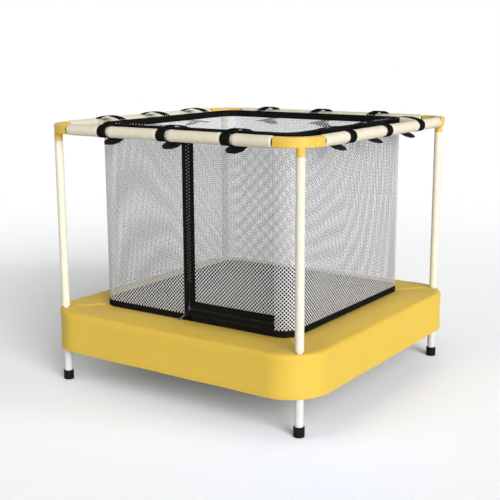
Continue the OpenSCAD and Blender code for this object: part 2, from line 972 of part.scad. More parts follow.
// Zip pull: an eye on the slider's bar, a neck, a cord and a tab. It hangs down, turned out
// from the net by tilt. Below the neck, which clears the slider's ears, it leans sideways.
module pull(l, tab_l, lean, tilt) {
    neck_start = (eye_bore_d + eye_wall) / 2;
    cord_end = l - tab_l - neck_l + pull_w / 2;
    color("#77787a")
        translate([0, -net_half - bar_out, 0]) {
            difference() {
                union() {
                    rotate([0, 90, 0])
                        cylinder(d = eye_d, h = eye_w, center = true, $fn = 48);
                    rotate([-tilt, 0, 0])
                        translate([0, 0, -neck_l]) {
                            cylinder(d = cord_d, h = neck_l - neck_start, $fn = 32);
                            sphere(d = cord_d, $fn = 32);
                            rotate([0, lean, 0]) {
                                translate([0, 0, -cord_end])
                                    cylinder(d = cord_d, h = cord_end, $fn = 32);
                                translate([0, tab_t / 2, neck_l - l])
                                    rotate([90, 0, 0])
                                        linear_extrude(tab_t)
                                            pull_tab(tab_l);
                            }
                        }
                }
                rotate([0, 90, 0])
                    cylinder(d = eye_bore_d, h = 2 * eye_w, center = true, $fn = 48);
            }
        }
}

module pull_tab(l) {
    translate([-pull_w / 2, pull_w / 2])
        square([pull_w, l - pull_w / 2]);
    translate([0, pull_w / 2])
        circle(d = pull_w, $fn = 48);
}

module zip_pull_upright() {
    translate([0, 0, zip_z + upright_rest])
        pull(short_pull_l, short_pull_l - short_cord_l, 0, 0);
}

module zip_pull_sill() {
    translate([sill_rest, 0, zip_z])
        pull(long_pull_l, long_pull_l / 2, pull_lean, pull_tilt);
}

// ---- padded cover ----

// Points of a rounded square at the height z, counter-clockwise seen from above
function ring_points(h, r, z, n = 10) = [
    for (q = [0 : 3], i = [0 : n])
        let (a = 90 * q + 90 * i / n)
        let (cx = (q == 0 || q == 3 ? 1 : -1) * (h - r))
        let (cy = (q < 2 ? 1 : -1) * (h - r))
        [cx + r * cos(a), cy + r * sin(a), z]
];

// Ring of the pad's top, at the share s of the way from the net's seat out to the soft edge
function top_ring(s, drop) =
    let (in_h = pad_in_half + net_seat_w)
    let (in_r = pad_in_r + net_seat_w)
    let (z = pad_top - drop + pad_crown * sin(180 * s))
    ring_points(in_h + s * (edge_half - in_h), in_r + s * (edge_corner_r - in_r), z);

// Ring on the cover's soft outer edge, at the angle a from the top, for an edge radius r
function edge_ring(a, r) =
    let (grow = r * sin(a))
    ring_points(edge_half + grow, edge_corner_r + grow, pad_top - pad_edge_r + r * cos(a));

// Closed skin through a loop of rings, each of the same number of points
module looped_skin(rings) {
    n = len(rings[0]);
    m = len(rings);
    points = [for (r = rings) each r];
    faces = [
        for (i = [0 : m - 1], j = [0 : n - 1])
            let (a = i * n + j)
            let (b = i * n + (j + 1) % n)
            let (c = ((i + 1) % m) * n + (j + 1) % n)
            let (d = ((i + 1) % m) * n + j)
            each [[a, c, b], [a, d, c]]
    ];
    polyhedron(points = points, faces = faces);
}

module pad_cover() {
    crown_steps = 4;
    edge_steps = 5;
    inner_edge_r = pad_edge_r - cover_t;
    outside = concat(
        [ring_points(pad_in_half, pad_in_r, pad_bottom)],
        [ring_points(pad_in_half, pad_in_r, pad_top)],
        [for (i = [0 : crown_steps]) top_ring(i / crown_steps, 0)],
        [for (i = [1 : edge_steps]) edge_ring(90 * i / edge_steps, pad_edge_r)],
        [ring_points(skirt_half, skirt_r, skirt_bottom)]
    );
    inside = concat(
        [ring_points(skirt_in, skirt_in_r, skirt_bottom)],
        [for (i = [edge_steps : -1 : 1]) edge_ring(90 * i / edge_steps, inner_edge_r)],
        [for (i = [crown_steps : -1 : 0]) top_ring(i / crown_steps, cover_t)],
        [ring_points(pad_in_half + cover_t, pad_in_r + cover_t, pad_top - cover_t)],
        [ring_points(pad_in_half + cover_t, pad_in_r + cover_t, pad_bottom)]
    );
    color("#e9bd4b")
        difference() {
            looped_skin(concat(outside, inside));
            for (k = [0 : 3])
                at_corner(k)
                    translate([post_half, post_half, pad_top - pad_edge_r])
                        cylinder(d = post_hole_d, h = 2 * pad_edge_r);
        }
}

module pad_foam() {
    inset = cover_t + fabric_gap;
    color("#cfd0d2")
        translate([0, 0, pad_bottom])
            linear_extrude(pad_foam_t)
                difference() {
                    rounded_square(edge_half, edge_corner_r);
                    rounded_square(pad_in_half + inset, pad_in_r + inset);
                    for (k = [0 : 3])
                        at_corner(k)
                            translate([post_half, post_half])
                                circle(d = post_notch_d);
                }
}

// ---- jumping mat and springs ----

function spring_x(i) = (i - (springs_per_side - 1) / 2) * spring_pitch;

// Repeats a child, made for the front side at x = 0, at every spring
module at_springs() {
    for (k = [0 : 3])
        at_side(k)
            for (i = [0 : springs_per_side - 1])
                translate([spring_x(i), 0, ring_z])
                    children();
}

module jumping_mat() {
    color("#202123")
        translate([0, 0, ring_z - mat_t / 2])
            linear_extrude(mat_t)
                rounded_square(mat_half, mat_corner_r);
}

module ring_loop() {
    difference() {
        translate([-loop_w / 2, -edging_out - loop_l, -loop_t / 2])
            cube([loop_w, loop_l + eps, loop_t]);
        translate([0, -ring_in_u, 0])
            rotate([0, 90, 0])
                cylinder(d = ring_tunnel_d, h = 2 * loop_w, center = true, $fn = 32);
    }
}

module mat_edging() {
    inner = mat_half - edging_w;
    inner_r = max(mat_corner_r - edging_w, 1);
    gap = mat_t / 2 + fabric_gap;
    color("#1c1c1b") {
        translate([0, 0, ring_z])
            difference() {
                translate([0, 0, -gap - webbing_t])
                    linear_extrude(2 * gap + 2 * webbing_t)
                        difference() {
                            rounded_square(edging_out, mat_corner_r + edging_out - mat_half);
                            rounded_square(inner, inner_r);
                        }
                translate([0, 0, -gap])
                    linear_extrude(2 * gap)
                        rounded_square(mat_half + fabric_gap, mat_corner_r + fabric_gap);
            }
        at_springs()
            ring_loop();
    }
}

// Wire ring: inner and outer bars and two side bars, with rounded corners
module wire_ring() {
    for (u = [ring_in_u, ring_out_u])
        translate([-ring_w / 2, -u, 0])
            rotate([0, 90, 0])
                cylinder(d = ring_wire_d, h = ring_w, $fn = 32);
    for (x = [-ring_w / 2, ring_w / 2]) {
        translate([x, -ring_in_u, 0])
            rotate([90, 0, 0])
                cylinder(d = ring_wire_d, h = ring_l, $fn = 32);
        for (u = [ring_in_u, ring_out_u])
            translate([x, -u, 0])
                sphere(d = ring_wire_d, $fn = 32);
    }
}

module mat_rings() {
    color("silver")
        at_springs()
            wire_ring();
}

// Extension spring with a hook round the mat's ring and a catch inside the side tube
module spring() {
    hook_end = spring_start - ring_out_u;
    translate([0, -ring_out_u, 0])
        across_rail()
            rotate([0, 0, 180])
                rotate_extrude(angle = 290, $fn = 48)
                    translate([hook_r, 0])
                        circle(d = spring_wire_d, $fn = 24);
    translate([0, -ring_out_u - hook_r, 0])
        rotate([90, 0, 0])
            cylinder(d = spring_wire_d, h = hook_end - hook_r + cut, $fn = 24);
    translate([0, -spring_start, 0])
        rotate([90, 0, 0])
            cylinder(d = spring_d, h = spring_end - spring_start, $fn = 48);
    translate([0, cut - spring_end, 0])
        rotate([90, 0, 0])
            cylinder(d = spring_wire_d, h = catch_u - spring_end + cut, $fn = 24);
    translate([0, -catch_u, -catch_l])
        cylinder(d = spring_wire_d, h = catch_l, $fn = 24);
    translate([0, -catch_u, 0])
        sphere(d = spring_wire_d, $fn = 24);
}

module mat_springs() {
    color("silver")
        at_springs()
            spring();
}

// ---- nodes ----

for (k = [0 : 3]) {
    at_corner(k) frame_corner();
    at_side(k) frame_side();
    at_corner(k) leg();
    at_corner(k) post_tube();
    at_corner(k) post_foam();
    at_corner(k) top_connector();
    at_side(k) rail_foam();
    at_side(k) net_straps();
}
frame_screws();
feet();
rail_tubes();
rail_collars();
strap_flaps();
net_front();
net_door_fixed();
net_door_flap();
at_side(1) net_wall();  // net_right
at_side(2) net_wall();  // net_back
at_side(3) net_wall();  // net_left
net_corners();
net_top_band();
net_bottom_hem();
door_sill();
zip_tape_net();
zip_tape_door();
zip_slider_upright();
zip_slider_sill();
zip_pull_upright();
zip_pull_sill();
pad_cover();
pad_foam();
jumping_mat();
mat_edging();
mat_rings();
mat_springs();
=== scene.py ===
"""Looks of a child's square trampoline with a net enclosure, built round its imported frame."""

import logging
import math
from dataclasses import dataclass, field, replace
from enum import Enum
from typing import Callable, Sequence

import bmesh
import bpy
import numpy as np
from mathutils import Matrix, Vector


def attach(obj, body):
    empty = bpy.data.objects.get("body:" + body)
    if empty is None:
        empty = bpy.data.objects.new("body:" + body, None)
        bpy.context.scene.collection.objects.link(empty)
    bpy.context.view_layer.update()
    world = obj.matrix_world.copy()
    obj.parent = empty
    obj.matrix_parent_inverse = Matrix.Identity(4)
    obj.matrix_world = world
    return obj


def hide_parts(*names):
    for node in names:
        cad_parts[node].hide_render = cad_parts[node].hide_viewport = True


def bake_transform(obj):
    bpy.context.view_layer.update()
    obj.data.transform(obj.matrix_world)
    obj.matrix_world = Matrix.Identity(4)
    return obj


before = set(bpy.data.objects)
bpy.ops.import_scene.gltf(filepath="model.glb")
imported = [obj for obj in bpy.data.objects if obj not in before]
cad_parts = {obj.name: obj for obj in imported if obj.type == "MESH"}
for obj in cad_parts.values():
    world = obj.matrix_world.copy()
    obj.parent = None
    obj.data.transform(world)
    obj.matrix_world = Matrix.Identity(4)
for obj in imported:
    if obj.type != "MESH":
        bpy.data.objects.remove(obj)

LOG = logging.getLogger("trampoline")
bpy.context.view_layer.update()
SIDES = ("front", "right", "back", "left")
CORNERS = ("back_right", "back_left", "front_left", "front_right")

MM = 0.001
QUARTER = math.pi / 2
POST = 0.55005  # The posts' middles, from the centre.
RAIL = 0.58005  # The top rails' middles, from the centre.
RAIL_Z = 1.018  # The top rails' height.
NET_HALF = 0.444  # Half of the net's width.
NET_SKIN = 0.0019  # Half of the thickness of webbing sewn round the mesh.
STRAPS = (-0.28, 0.0, 0.28)  # The straps' places along a side.

Place = Callable[[np.ndarray, np.ndarray, np.ndarray], np.ndarray]
Radius = Callable[[np.ndarray, np.ndarray], np.ndarray]
Socket = bpy.types.NodeSocket
Tree = bpy.types.NodeTree


# ---- node helpers ----


def linear(hex_code: str) -> tuple[float, float, float, float]:
    """Turns an sRGB hex colour to linear RGBA.

    Args:
        hex_code: Six hex digits, with or without a leading hash.

    Returns:
        The colour as linear red, green, blue and an alpha of 1.
    """
    code = hex_code.lstrip("#")
    parts = [int(code[i : i + 2], 16) / 255 for i in (0, 2, 4)]
    rgb = [c / 12.92 if c <= 0.04045 else ((c + 0.055) / 1.055) ** 2.4 for c in parts]
    return (rgb[0], rgb[1], rgb[2], 1.0)


def feed(node: bpy.types.Node, inputs: dict) -> None:
    """Sets a node's inputs, by name or number; a value that is a socket is linked.

    Args:
        node: The node that takes them.
        inputs: Values or sockets by the input's name or number.
    """
    for key, value in inputs.items():
        if isinstance(value, Socket):
            node.id_data.links.new(value, node.inputs[key])
        else:
            node.inputs[key].default_value = value


def add_node(tree: Tree, kind: str, settings: dict | None = None, inputs: dict | None = None) -> bpy.types.Node:
    """Adds a node to a tree.

    Args:
        tree: The node tree that takes the node.
        kind: The node's type name, without its first part.
        settings: Properties of the node, by name.
        inputs: Input sockets by name or number.

    Returns:
        The new node.
    """
    node = tree.nodes.new("ShaderNode" + kind)
    for name, value in (settings or {}).items():
        setattr(node, name, value)
    feed(node, inputs or {})
    return node


def calc(tree: Tree, operation: str, *values: Socket | float, clamp: bool = False) -> Socket:
    """Adds a sum of plain numbers and returns its result."""
    settings = {"operation": operation, "use_clamp": clamp}
    return add_node(tree, "Math", settings, dict(enumerate(values))).outputs[0]


def ranged(
    tree: Tree,
    value: Socket,
    low: float = 0.0,
    high: float = 1.0,
    bottom: Socket | float = 0.0,
    top: Socket | float = 1.0,
    eased: bool = False,
) -> Socket:
    """Maps a value from low..high to bottom..top, clamped.

    Args:
        tree: The node tree.
        value: Socket with the value.
        low: The value that gives the bottom.
        high: The value that gives the top.
        bottom: Result at the low end.
        top: Result at the high end.
        eased: Whether both ends are eased.

    Returns:
        Socket with the result.
    """
    settings = {"interpolation_type": "SMOOTHSTEP" if eased else "LINEAR"}
    inputs = {0: value, 1: low, 2: high, 3: bottom, 4: top}
    return add_node(tree, "MapRange", settings, inputs).outputs[0]


def placed(tree: Tree) -> Socket:
    """Returns the place in object space, in metres."""
    return add_node(tree, "TexCoord").outputs["Object"]


# ---- mesh helpers ----


def smoothstep(t: np.ndarray) -> np.ndarray:
    """Eases values from 0 to 1."""
    t = np.clip(t, 0, 1)
    return t * t * (3 - 2 * t)


def unit(vectors: np.ndarray) -> np.ndarray:
    """Scales each row to a length of 1."""
    return vectors / np.linalg.norm(vectors, axis=1)[:, None]


def arc(radius: float, start: float, end: float, count: int) -> list[tuple[float, float]]:
    """Lists points on an arc round zero, between two angles in radians."""
    return [(radius * math.cos(a), radius * math.sin(a)) for a in np.linspace(start, end, count)]


def run_along(points: np.ndarray) -> np.ndarray:
    """Returns each point's distance along its line."""
    return np.concatenate([[0], np.cumsum(np.linalg.norm(np.diff(points, axis=0), axis=1))])


def sampled(at: np.ndarray, run: np.ndarray, values: np.ndarray) -> np.ndarray:
    """Returns each column of values at some distances along a line."""
    return np.stack([np.interp(at, run, column) for column in values.T], -1)


def level(xy: np.ndarray, z: np.ndarray | float) -> np.ndarray:
    """Adds a height, or any last coordinate, to points."""
    return np.concatenate([xy, np.broadcast_to(z, xy.shape[:-1])[..., None]], -1)


def quarter_turn(turns: int) -> np.ndarray:
    """Returns the 3 by 3 matrix of some quarter turns, counter-clockwise from above."""
    a = QUARTER * turns
    return np.array([[math.cos(a), -math.sin(a), 0], [math.sin(a), math.cos(a), 0], [0, 0, 1]])


def spin(degrees: float, axis: str) -> Matrix:
    """Returns a turn about an axis through zero."""
    return Matrix.Rotation(math.radians(degrees), 4, axis)


@dataclass
class Shape:
    """A mesh in the making: points, faces, a flat coordinate in metres and face marks."""

    points: np.ndarray
    faces: list
    flat: np.ndarray
    marks: list = field(default_factory=list)

    def __post_init__(self) -> None:
        """Gives every face the first material where no marks were set."""
        self.marks = self.marks or [0] * len(self.faces)

    def marked(self, mark: int) -> "Shape":
        """Returns this shape with all faces on one material number."""
        return Shape(self.points, self.faces, self.flat, [mark] * len(self.faces))

    def moved(self, matrix: Matrix) -> "Shape":
        """Returns this shape moved by a 4 by 4 matrix."""
        m = np.array(matrix, float)
        return Shape(self.points @ m[:3, :3].T + m[:3, 3], self.faces, self.flat, self.marks)

    def turned(self, turns: int) -> "Shape":
        """Returns this shape turned by quarter turns, counter-clockwise from above."""
        return Shape(self.points @ quarter_turn(turns).T, self.faces, self.flat, self.marks)


def joined(shapes: Sequence[Shape]) -> Shape:
    """Puts several shapes into one, in order.

    Args:
        shapes: The shapes.

    Returns:
        One shape with all their points and faces.
    """
    faces, marks, start = [], [], 0
    for s in shapes:
        faces += [tuple(i + start for i in f) for f in s.faces]
        marks += s.marks
        start += len(s.points)
    return Shape(np.concatenate([s.points for s in shapes]), faces, np.concatenate([s.flat for s in shapes]), marks)


def grid_shape(points: np.ndarray, flat: np.ndarray, wrap: bool = False, caps: bool = False) -> Shape:
    """Makes a sheet of quads from rows of points.

    Args:
        points: Rows by columns by 3.
        flat: Rows by columns by 2, the flat coordinates in metres.
        wrap: Whether each row closes on itself.
        caps: Whether the first and last rows are closed with one face each.

    Returns:
        The shape.
    """
    rows, cols = points.shape[:2]
    r = np.arange(rows - 1)[:, None]
    c = np.arange(cols if wrap else cols - 1)[None, :]
    n = (c + 1) % cols
    quads = np.stack([r * cols + c, r * cols + n, (r + 1) * cols + n, (r + 1) * cols + c], -1)
    faces = [tuple(q) for q in quads.reshape(-1, 4).tolist()]
    if caps:
        faces += [tuple(range(cols))[::-1], tuple(range((rows - 1) * cols, rows * cols))]
    return Shape(points.reshape(-1, 3), faces, flat.reshape(-1, 2))


def prisms(points: np.ndarray) -> Shape:
    """Makes closed prisms.

    Args:
        points: Prisms by both end faces' points by 3; the second half is the second end.

    Returns:
        The prisms in one shape.
    """
    count, both = points.shape[:2]
    n = both // 2
    block = [(k, (k + 1) % n, n + (k + 1) % n, n + k) for k in range(n)]
    block += [tuple(range(n))[::-1], tuple(range(n, both))]
    faces = [tuple(i * both + v for v in f) for i in range(count) for f in block]
    return Shape(points.reshape(-1, 3), faces, np.zeros((count * both, 2)))


def swept(profile: np.ndarray, path: np.ndarray, place: Place, along_first: bool = True) -> Shape:
    """Sweeps a closed profile of (cross, off) values along path values.

    Args:
        profile: Points of the closed profile: a coordinate across the strip and an offset.
        path: Values along the strip.
        place: Turns (along, up, off) arrays to points.
        along_first: Whether the path runs along the net and the profile up it.

    Returns:
        A closed strip with end faces.
    """
    cross, off = profile.T
    a = np.repeat(path[:, None], len(cross), 1)
    b = np.repeat(cross[None, :], len(path), 0)
    o = np.repeat(off[None, :], len(path), 0)
    points = place(a, b, o) if along_first else place(b, a, o)
    return grid_shape(points, np.stack([a, b + o], -1), wrap=True, caps=True)


def strip_profile(low: float, high: float, half: float, steps: int) -> np.ndarray:
    """Returns the closed section of a flat strip with softened edges.

    Args:
        low: Lower edge across the strip.
        high: Upper edge across the strip.
        half: Half of the strip's thickness.
        steps: Number of quads across each face.

    Returns:
        Points of (cross, off), counter-clockwise.
    """
    soft = 0.0004
    run = np.linspace(low + soft, high - soft, steps + 1)
    front = [(c, half) for c in run[::-1]] + [(low, half - soft), (low, soft - half)]
    back = [(c, -half) for c in run] + [(high, soft - half), (high, half - soft)]
    return np.array(front + back)


def tube_shape(path: np.ndarray, radius: float, sides: int = 8, closed: bool = False) -> Shape:
    """Sweeps a round section along points, without twist.

    Args:
        path: The centreline's points.
        radius: Radius of the section.
        sides: Number of sides of the section.
        closed: Whether the centreline is a closed loop.

    Returns:
        The tube.
    """
    tangent = unit(np.roll(path, -1, 0) - np.roll(path, 1, 0) if closed else np.gradient(path, axis=0))
    normal = np.array([0.0, 0, 1]) if abs(tangent[0, 2]) < 0.9 else np.array([1.0, 0, 0])
    turn = np.arange(sides) * 2 * math.pi / sides
    rows, flat = [], []
    for point, way, length in zip(path, tangent, run_along(path)):
        normal = normal - way * (normal @ way)
        normal /= np.linalg.norm(normal)
        side = np.cross(way, normal)
        rows.append(point + radius * (np.cos(turn)[:, None] * normal + np.sin(turn)[:, None] * side))
        flat.append(np.stack([np.full(sides, length), turn * radius], -1))
    if closed:
        rows.append(rows[0])
        flat.append(flat[-1])
    return grid_shape(np.array(rows), np.array(flat), wrap=True, caps=not closed)


def turned_shape(profile: np.ndarray, sides: int, sag: Radius) -> Shape:
    """Turns a closed (radius, height) profile about the vertical axis.

    Args:
        profile: Points of the closed profile.
        sides: Number of sides round the axis.
        sag: Change of radius for (height, angle) arrays.

    Returns:
        The shape, with its axis on Z.
    """
    angle, height = np.meshgrid(np.linspace(0, 2 * math.pi, sides, endpoint=False), profile[:, 1])
    radius = profile[:, :1] + sag(height, angle)
    points = np.stack([radius * np.cos(angle), radius * np.sin(angle), height], -1)
    flat = np.stack([angle * radius, height], -1)
    return grid_shape(np.concatenate([points, points[:1]]), np.concatenate([flat, flat[:1]]), wrap=True)


@dataclass(frozen=True)
class Stitch:
    """One stitch of a seam: its length, the thread's width and its height above the cloth."""

    length: float
    width: float | np.ndarray
    height: float

    def row(self, points: np.ndarray, outward: Sequence[float] | np.ndarray) -> Shape:
        """Makes a row of separate stitches.

        Args:
            points: Middles of the stitches, evenly spaced along the seam.
            outward: Direction away from the cloth, for all or one row per stitch.

        Returns:
            All the stitches in one shape.
        """
        outward = np.broadcast_to(outward, points.shape)
        along = unit(np.gradient(points, axis=0)) * self.length / 2
        side = np.cross(outward, unit(along)) * (self.width / 2)
        rise = outward * self.height
        ring = [(-1, 0, 0), (-0.6, -1, 0.5), (0.6, -1, 0.5), (1, 0, 0)]
        ring += [(0.6, 1, 0.5), (-0.6, 1, 0.5), (-0.5, 0, 1), (0.5, 0, 1)]
        block = np.stack([points + along * a + side * b + rise * c for a, b, c in ring], 1)
        quads = [(0, 1, 6), (1, 2, 7, 6), (2, 3, 7), (3, 4, 7), (4, 5, 6, 7), (5, 0, 6), (0, 5, 4, 3, 2, 1)]
        faces = [tuple(i * 8 + v for v in q) for i in range(len(points)) for q in quads]
        return Shape(block.reshape(-1, 3), faces, np.zeros((len(points) * 8, 2)))


NET_STITCH = Stitch(0.0036, 0.0009, 0.0004)
STRAP_STITCH = Stitch(0.0034, 0.0009, 0.0004)
SKIRT_STITCH = Stitch(0.0038, 0.0009, 0.0004)
MAT_STITCH = Stitch(0.0040, 0.0012, 0.0005)


def make_piece(name: str, shape: Shape, finishes: Sequence["Finish"]) -> bpy.types.Object:
    """Makes a Blender object from a shape, smooth with crisp edges.

    Args:
        name: The piece's name.
        shape: Its mesh.
        finishes: Its finishes, in the order of the shape's marks.

    Returns:
        The object, in the row frame.
    """
    mesh = bpy.data.meshes.new(name)
    mesh.from_pydata(shape.points.tolist(), [], shape.faces)
    layer = mesh.uv_layers.new(name="flat")
    index = np.zeros(len(mesh.loops), np.int32)
    mesh.loops.foreach_get("vertex_index", index)
    layer.data.foreach_set("uv", shape.flat[index].astype(np.float32).ravel())
    mesh.polygons.foreach_set("material_index", np.array(shape.marks, np.int32))
    for finish in finishes:
        mesh.materials.append(finish.material())
    obj = bpy.data.objects.new(name, mesh)
    bpy.context.scene.collection.objects.link(obj)
    work = bmesh.new()
    work.from_mesh(mesh)
    bmesh.ops.remove_doubles(work, verts=work.verts, dist=1e-6)
    if all(edge.is_manifold for edge in work.edges):
        bmesh.ops.recalc_face_normals(work, faces=work.faces)
    work.to_mesh(mesh)
    work.free()
    smooth(mesh, 40)
    LOG.info("%s: %d faces", name, len(mesh.polygons))
    return obj


def fixed_piece(name: str, shape: Shape, finishes: Sequence["Finish"], node: str) -> bpy.types.Object:
    """Makes a piece that stands for a CAD node and stays on the root body.

    Args:
        name: The piece's name.
        shape: Its mesh.
        finishes: Its finishes, in the order of the shape's marks.
        node: The CAD node that it stands for.

    Returns:
        The object.
    """
    piece = make_piece(name, shape, finishes)
    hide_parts(node)
    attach(piece, "root")
    return piece


def smooth(mesh: bpy.types.Mesh, degrees: float) -> None:
    """Shades a mesh smooth, with edges kept crisp beyond an angle."""
    mesh.polygons.foreach_set("use_smooth", np.full(len(mesh.polygons), True))
    mesh.set_sharp_from_angle(angle=math.radians(degrees))


def apply_modifiers(obj: bpy.types.Object) -> None:
    """Bakes an object's modifiers into its mesh.

    Args:
        obj: The object.
    """
    graph = bpy.context.evaluated_depsgraph_get()
    mesh = bpy.data.meshes.new_from_object(obj.evaluated_get(graph))
    obj.modifiers.clear()
    obj.data = mesh


def points_of(mesh: bpy.types.Mesh) -> np.ndarray:
    """Returns a mesh's points.

    Args:
        mesh: The mesh.

    Returns:
        Points by 3.
    """
    at = np.zeros(len(mesh.vertices) * 3)
    mesh.vertices.foreach_get("co", at)
    return at.reshape(-1, 3)


def set_points(mesh: bpy.types.Mesh, points: np.ndarray) -> None:
    """Moves a mesh's points."""
    mesh.vertices.foreach_set("co", points.ravel())
    mesh.update()


# ---- finishes ----


@dataclass(frozen=True)
class Finish:
    """A named material on a Principled shader. Each kind adds its own detail."""

    name: str
    colour: str
    roughness: float

    def material(self) -> bpy.types.Material:
        """Makes the Blender material, once.

        Returns:
            The material.
        """
        found = bpy.data.materials.get(self.name)
        if found is not None:
            return found
        made = bpy.data.materials.new(self.name)
        made.use_nodes = True
        shader = made.node_tree.nodes["Principled BSDF"]
        feed(shader, {"Base Color": linear(self.colour), "Roughness": self.roughness})
        self.detail(made.node_tree, shader)
        return made

    def detail(self, tree: Tree, shader: bpy.types.Node) -> None:
        """Adds what sets this finish apart."""

    def tinted(self, shader: bpy.types.Node, share: Socket, other: str) -> None:
        """Mixes the finish's colour with another.

        Args:
            shader: The shader whose base colour is set.
            share: Socket that holds the other colour's share.
            other: The other colour, as hex.
        """
        inputs = {0: share, 6: linear(self.colour), 7: linear(other)}
        mix = add_node(shader.id_data, "Mix", {"data_type": "RGBA"}, inputs)
        feed(shader, {"Base Color": mix.outputs[2]})

    def bumped(self, shader: bpy.types.Node, height: Socket, depth_mm: float, strength: float) -> None:
        """Gives the shader a bump of a real depth.

        Args:
            shader: The shader that takes the normal.
            height: Socket with the height, 0 to 1.
            depth_mm: Depth of the relief in millimetres.
            strength: Strength of the bump.
        """
        inputs = {"Height": height, "Distance": depth_mm * MM, "Strength": strength}
        feed(shader, {"Normal": add_node(shader.id_data, "Bump", {}, inputs).outputs[0]})

    def grain(self, tree: Tree, size_mm: float, detail: float) -> Socket:
        """Returns a noise whose grains have a real size."""
        inputs = {"Vector": placed(tree), "Scale": 1 / (size_mm * MM), "Detail": detail}
        return add_node(tree, "TexNoise", {}, inputs).outputs[0]

    def cells(self, tree: Tree, size_mm: float) -> Socket:
        """Returns cells that have a real size: 0 in their middles."""
        inputs = {"Vector": placed(tree), "Scale": 1 / (size_mm * MM)}
        return add_node(tree, "TexVoronoi", {}, inputs).outputs[0]


@dataclass(frozen=True)
class PowderCoat(Finish):
    """Powder-coated steel tube: a satin white skin with a faint orange peel."""

    def detail(self, tree: Tree, shader: bpy.types.Node) -> None:
        """Adds the peel and a slight unevenness of gloss.

        Args:
            tree: The material's node tree.
            shader: Its shader.
        """
        self.bumped(shader, self.grain(tree, 2.2, 2.0), 0.05, 0.5)
        dust = self.grain(tree, 40.0, 4.0)
        self.tinted(shader, ranged(tree, dust, 0.35, 0.75), "#E7E7E4")
        gloss = ranged(tree, dust, 0.3, 0.7, self.roughness - 0.05, self.roughness + 0.1)
        feed(shader, {"Roughness": gloss, "Coat Weight": 0.15})


@dataclass(frozen=True)
class ZincPlate(Finish):
    """Zinc-plated steel wire: bright metal with a dull, slightly blotched plating."""

    def detail(self, tree: Tree, shader: bpy.types.Node) -> None:
        """Adds the plating's blotches.

        Args:
            tree: The material's node tree.
            shader: Its shader.
        """
        blotch = self.grain(tree, 3.0, 4.0)
        self.tinted(shader, ranged(tree, blotch, 0.4, 0.7), "#8E8D88")
        feed(shader, {"Metallic": 1.0, "Roughness": ranged(tree, blotch, 0.3, 0.7, 0.25, 0.5)})


@dataclass(frozen=True)
class MouldedRubber(Finish):
    """Moulded rubber: near black, dull, with fine grain and paler scuffs."""

    def detail(self, tree: Tree, shader: bpy.types.Node) -> None:
        """Adds grain and scuffs.

        Args:
            tree: The material's node tree.
            shader: Its shader.
        """
        self.bumped(shader, self.grain(tree, 0.9, 2.0), 0.15, 0.6)
        self.tinted(shader, ranged(tree, self.grain(tree, 14.0, 5.0), 0.5, 0.8), "#20201E")
        feed(shader, {"Specular IOR Level": 0.15})


@dataclass(frozen=True)
class MouldedPlastic(Finish):
    """Injection-moulded polypropylene: even colour, satin, with a fine spark-eroded grain."""

    worn: str

    def detail(self, tree: Tree, shader: bpy.types.Node) -> None:
        """Adds the mould's grain and a faint flow of tone.

        Args:
            tree: The material's node tree.
            shader: Its shader.
        """
        self.bumped(shader, self.grain(tree, 0.8, 2.0), 0.06, 0.5)
        self.tinted(shader, ranged(tree, self.grain(tree, 30.0, 3.0), 0.35, 0.75), self.worn)
        feed(shader, {"IOR": 1.49})


@dataclass(frozen=True)
class FoamSkin(Finish):
    """Extruded closed-cell foam sleeve: a smooth matt skin with tiny cells and soft dents."""

    deep: str
    # Cells are 0.5 mm; they are drawn 1.6 mm wide, which is what still shows.
    cell_mm: float = 1.6

    def detail(self, tree: Tree, shader: bpy.types.Node) -> None:
        """Adds the cells and the shallow dents.

        Args:
            tree: The material's node tree.
            shader: Its shader.
        """
        dents = self.grain(tree, 25.0, 3.0)
        both = calc(tree, "MULTIPLY_ADD", dents, 3.0, self.cells(tree, self.cell_mm))
        self.bumped(shader, both, 0.12, 0.5)
        self.tinted(shader, ranged(tree, dents, 0.35, 0.8), self.deep)
        feed(shader, {"IOR": 1.4})


@dataclass(frozen=True)
class Woven(Finish):
    """Woven cloth with crossing threads: warp and weft rise in turn, with dark pores."""

    pore: str
    thread_mm: float
    relief_mm: float
    sheen: float
    blotch_mm: float
    gloss: float
    ribs: float = 1.0

    def detail(self, tree: Tree, shader: bpy.types.Node) -> None:
        """Adds the weave from the cloth's flat coordinates, and a broad drift of tone.

        Args:
            tree: The material's node tree.
            shader: Its shader.
        """
        flat = add_node(tree, "UVMap", {"uv_map": "flat"})
        split = add_node(tree, "SeparateXYZ", {}, {0: flat.outputs[0]})
        waves = []
        for axis, size in enumerate((self.thread_mm, self.thread_mm * self.ribs)):
            waves.append(calc(tree, "SINE", calc(tree, "MULTIPLY", split.outputs[axis], math.pi / (size * MM))))
        weave = calc(tree, "MULTIPLY", *waves)
        self.bumped(shader, ranged(tree, weave, -1.0, 1.0), self.relief_mm, 0.8)
        pores = ranged(tree, calc(tree, "ABSOLUTE", weave), 0.0, 0.5, 0.45, 0.0)
        share = calc(tree, "MULTIPLY_ADD", self.grain(tree, self.blotch_mm, 4.0), 0.35, pores, clamp=True)
        self.tinted(shader, share, self.pore)
        feed(shader, {"Sheen Weight": self.sheen, "Sheen Roughness": 0.4, "Specular IOR Level": self.gloss})


@dataclass(frozen=True)
class Pile(Finish):
    """Hook-and-loop fabric: a short fuzzy pile that scatters light."""

    tip: str
    # Loops are 0.8 mm apart; they are drawn 1.8 mm apart so that they show.
    loop_mm: float = 1.8

    def detail(self, tree: Tree, shader: bpy.types.Node) -> None:
        """Adds the tufts.

        Args:
            tree: The material's node tree.
            shader: Its shader.
        """
        tufts = self.cells(tree, self.loop_mm)
        self.bumped(shader, tufts, 0.5, 0.9)
        self.tinted(shader, ranged(tree, tufts, 0.2, 0.7), self.tip)
        feed(shader, {"Sheen Weight": 0.04, "Specular IOR Level": 0.1})


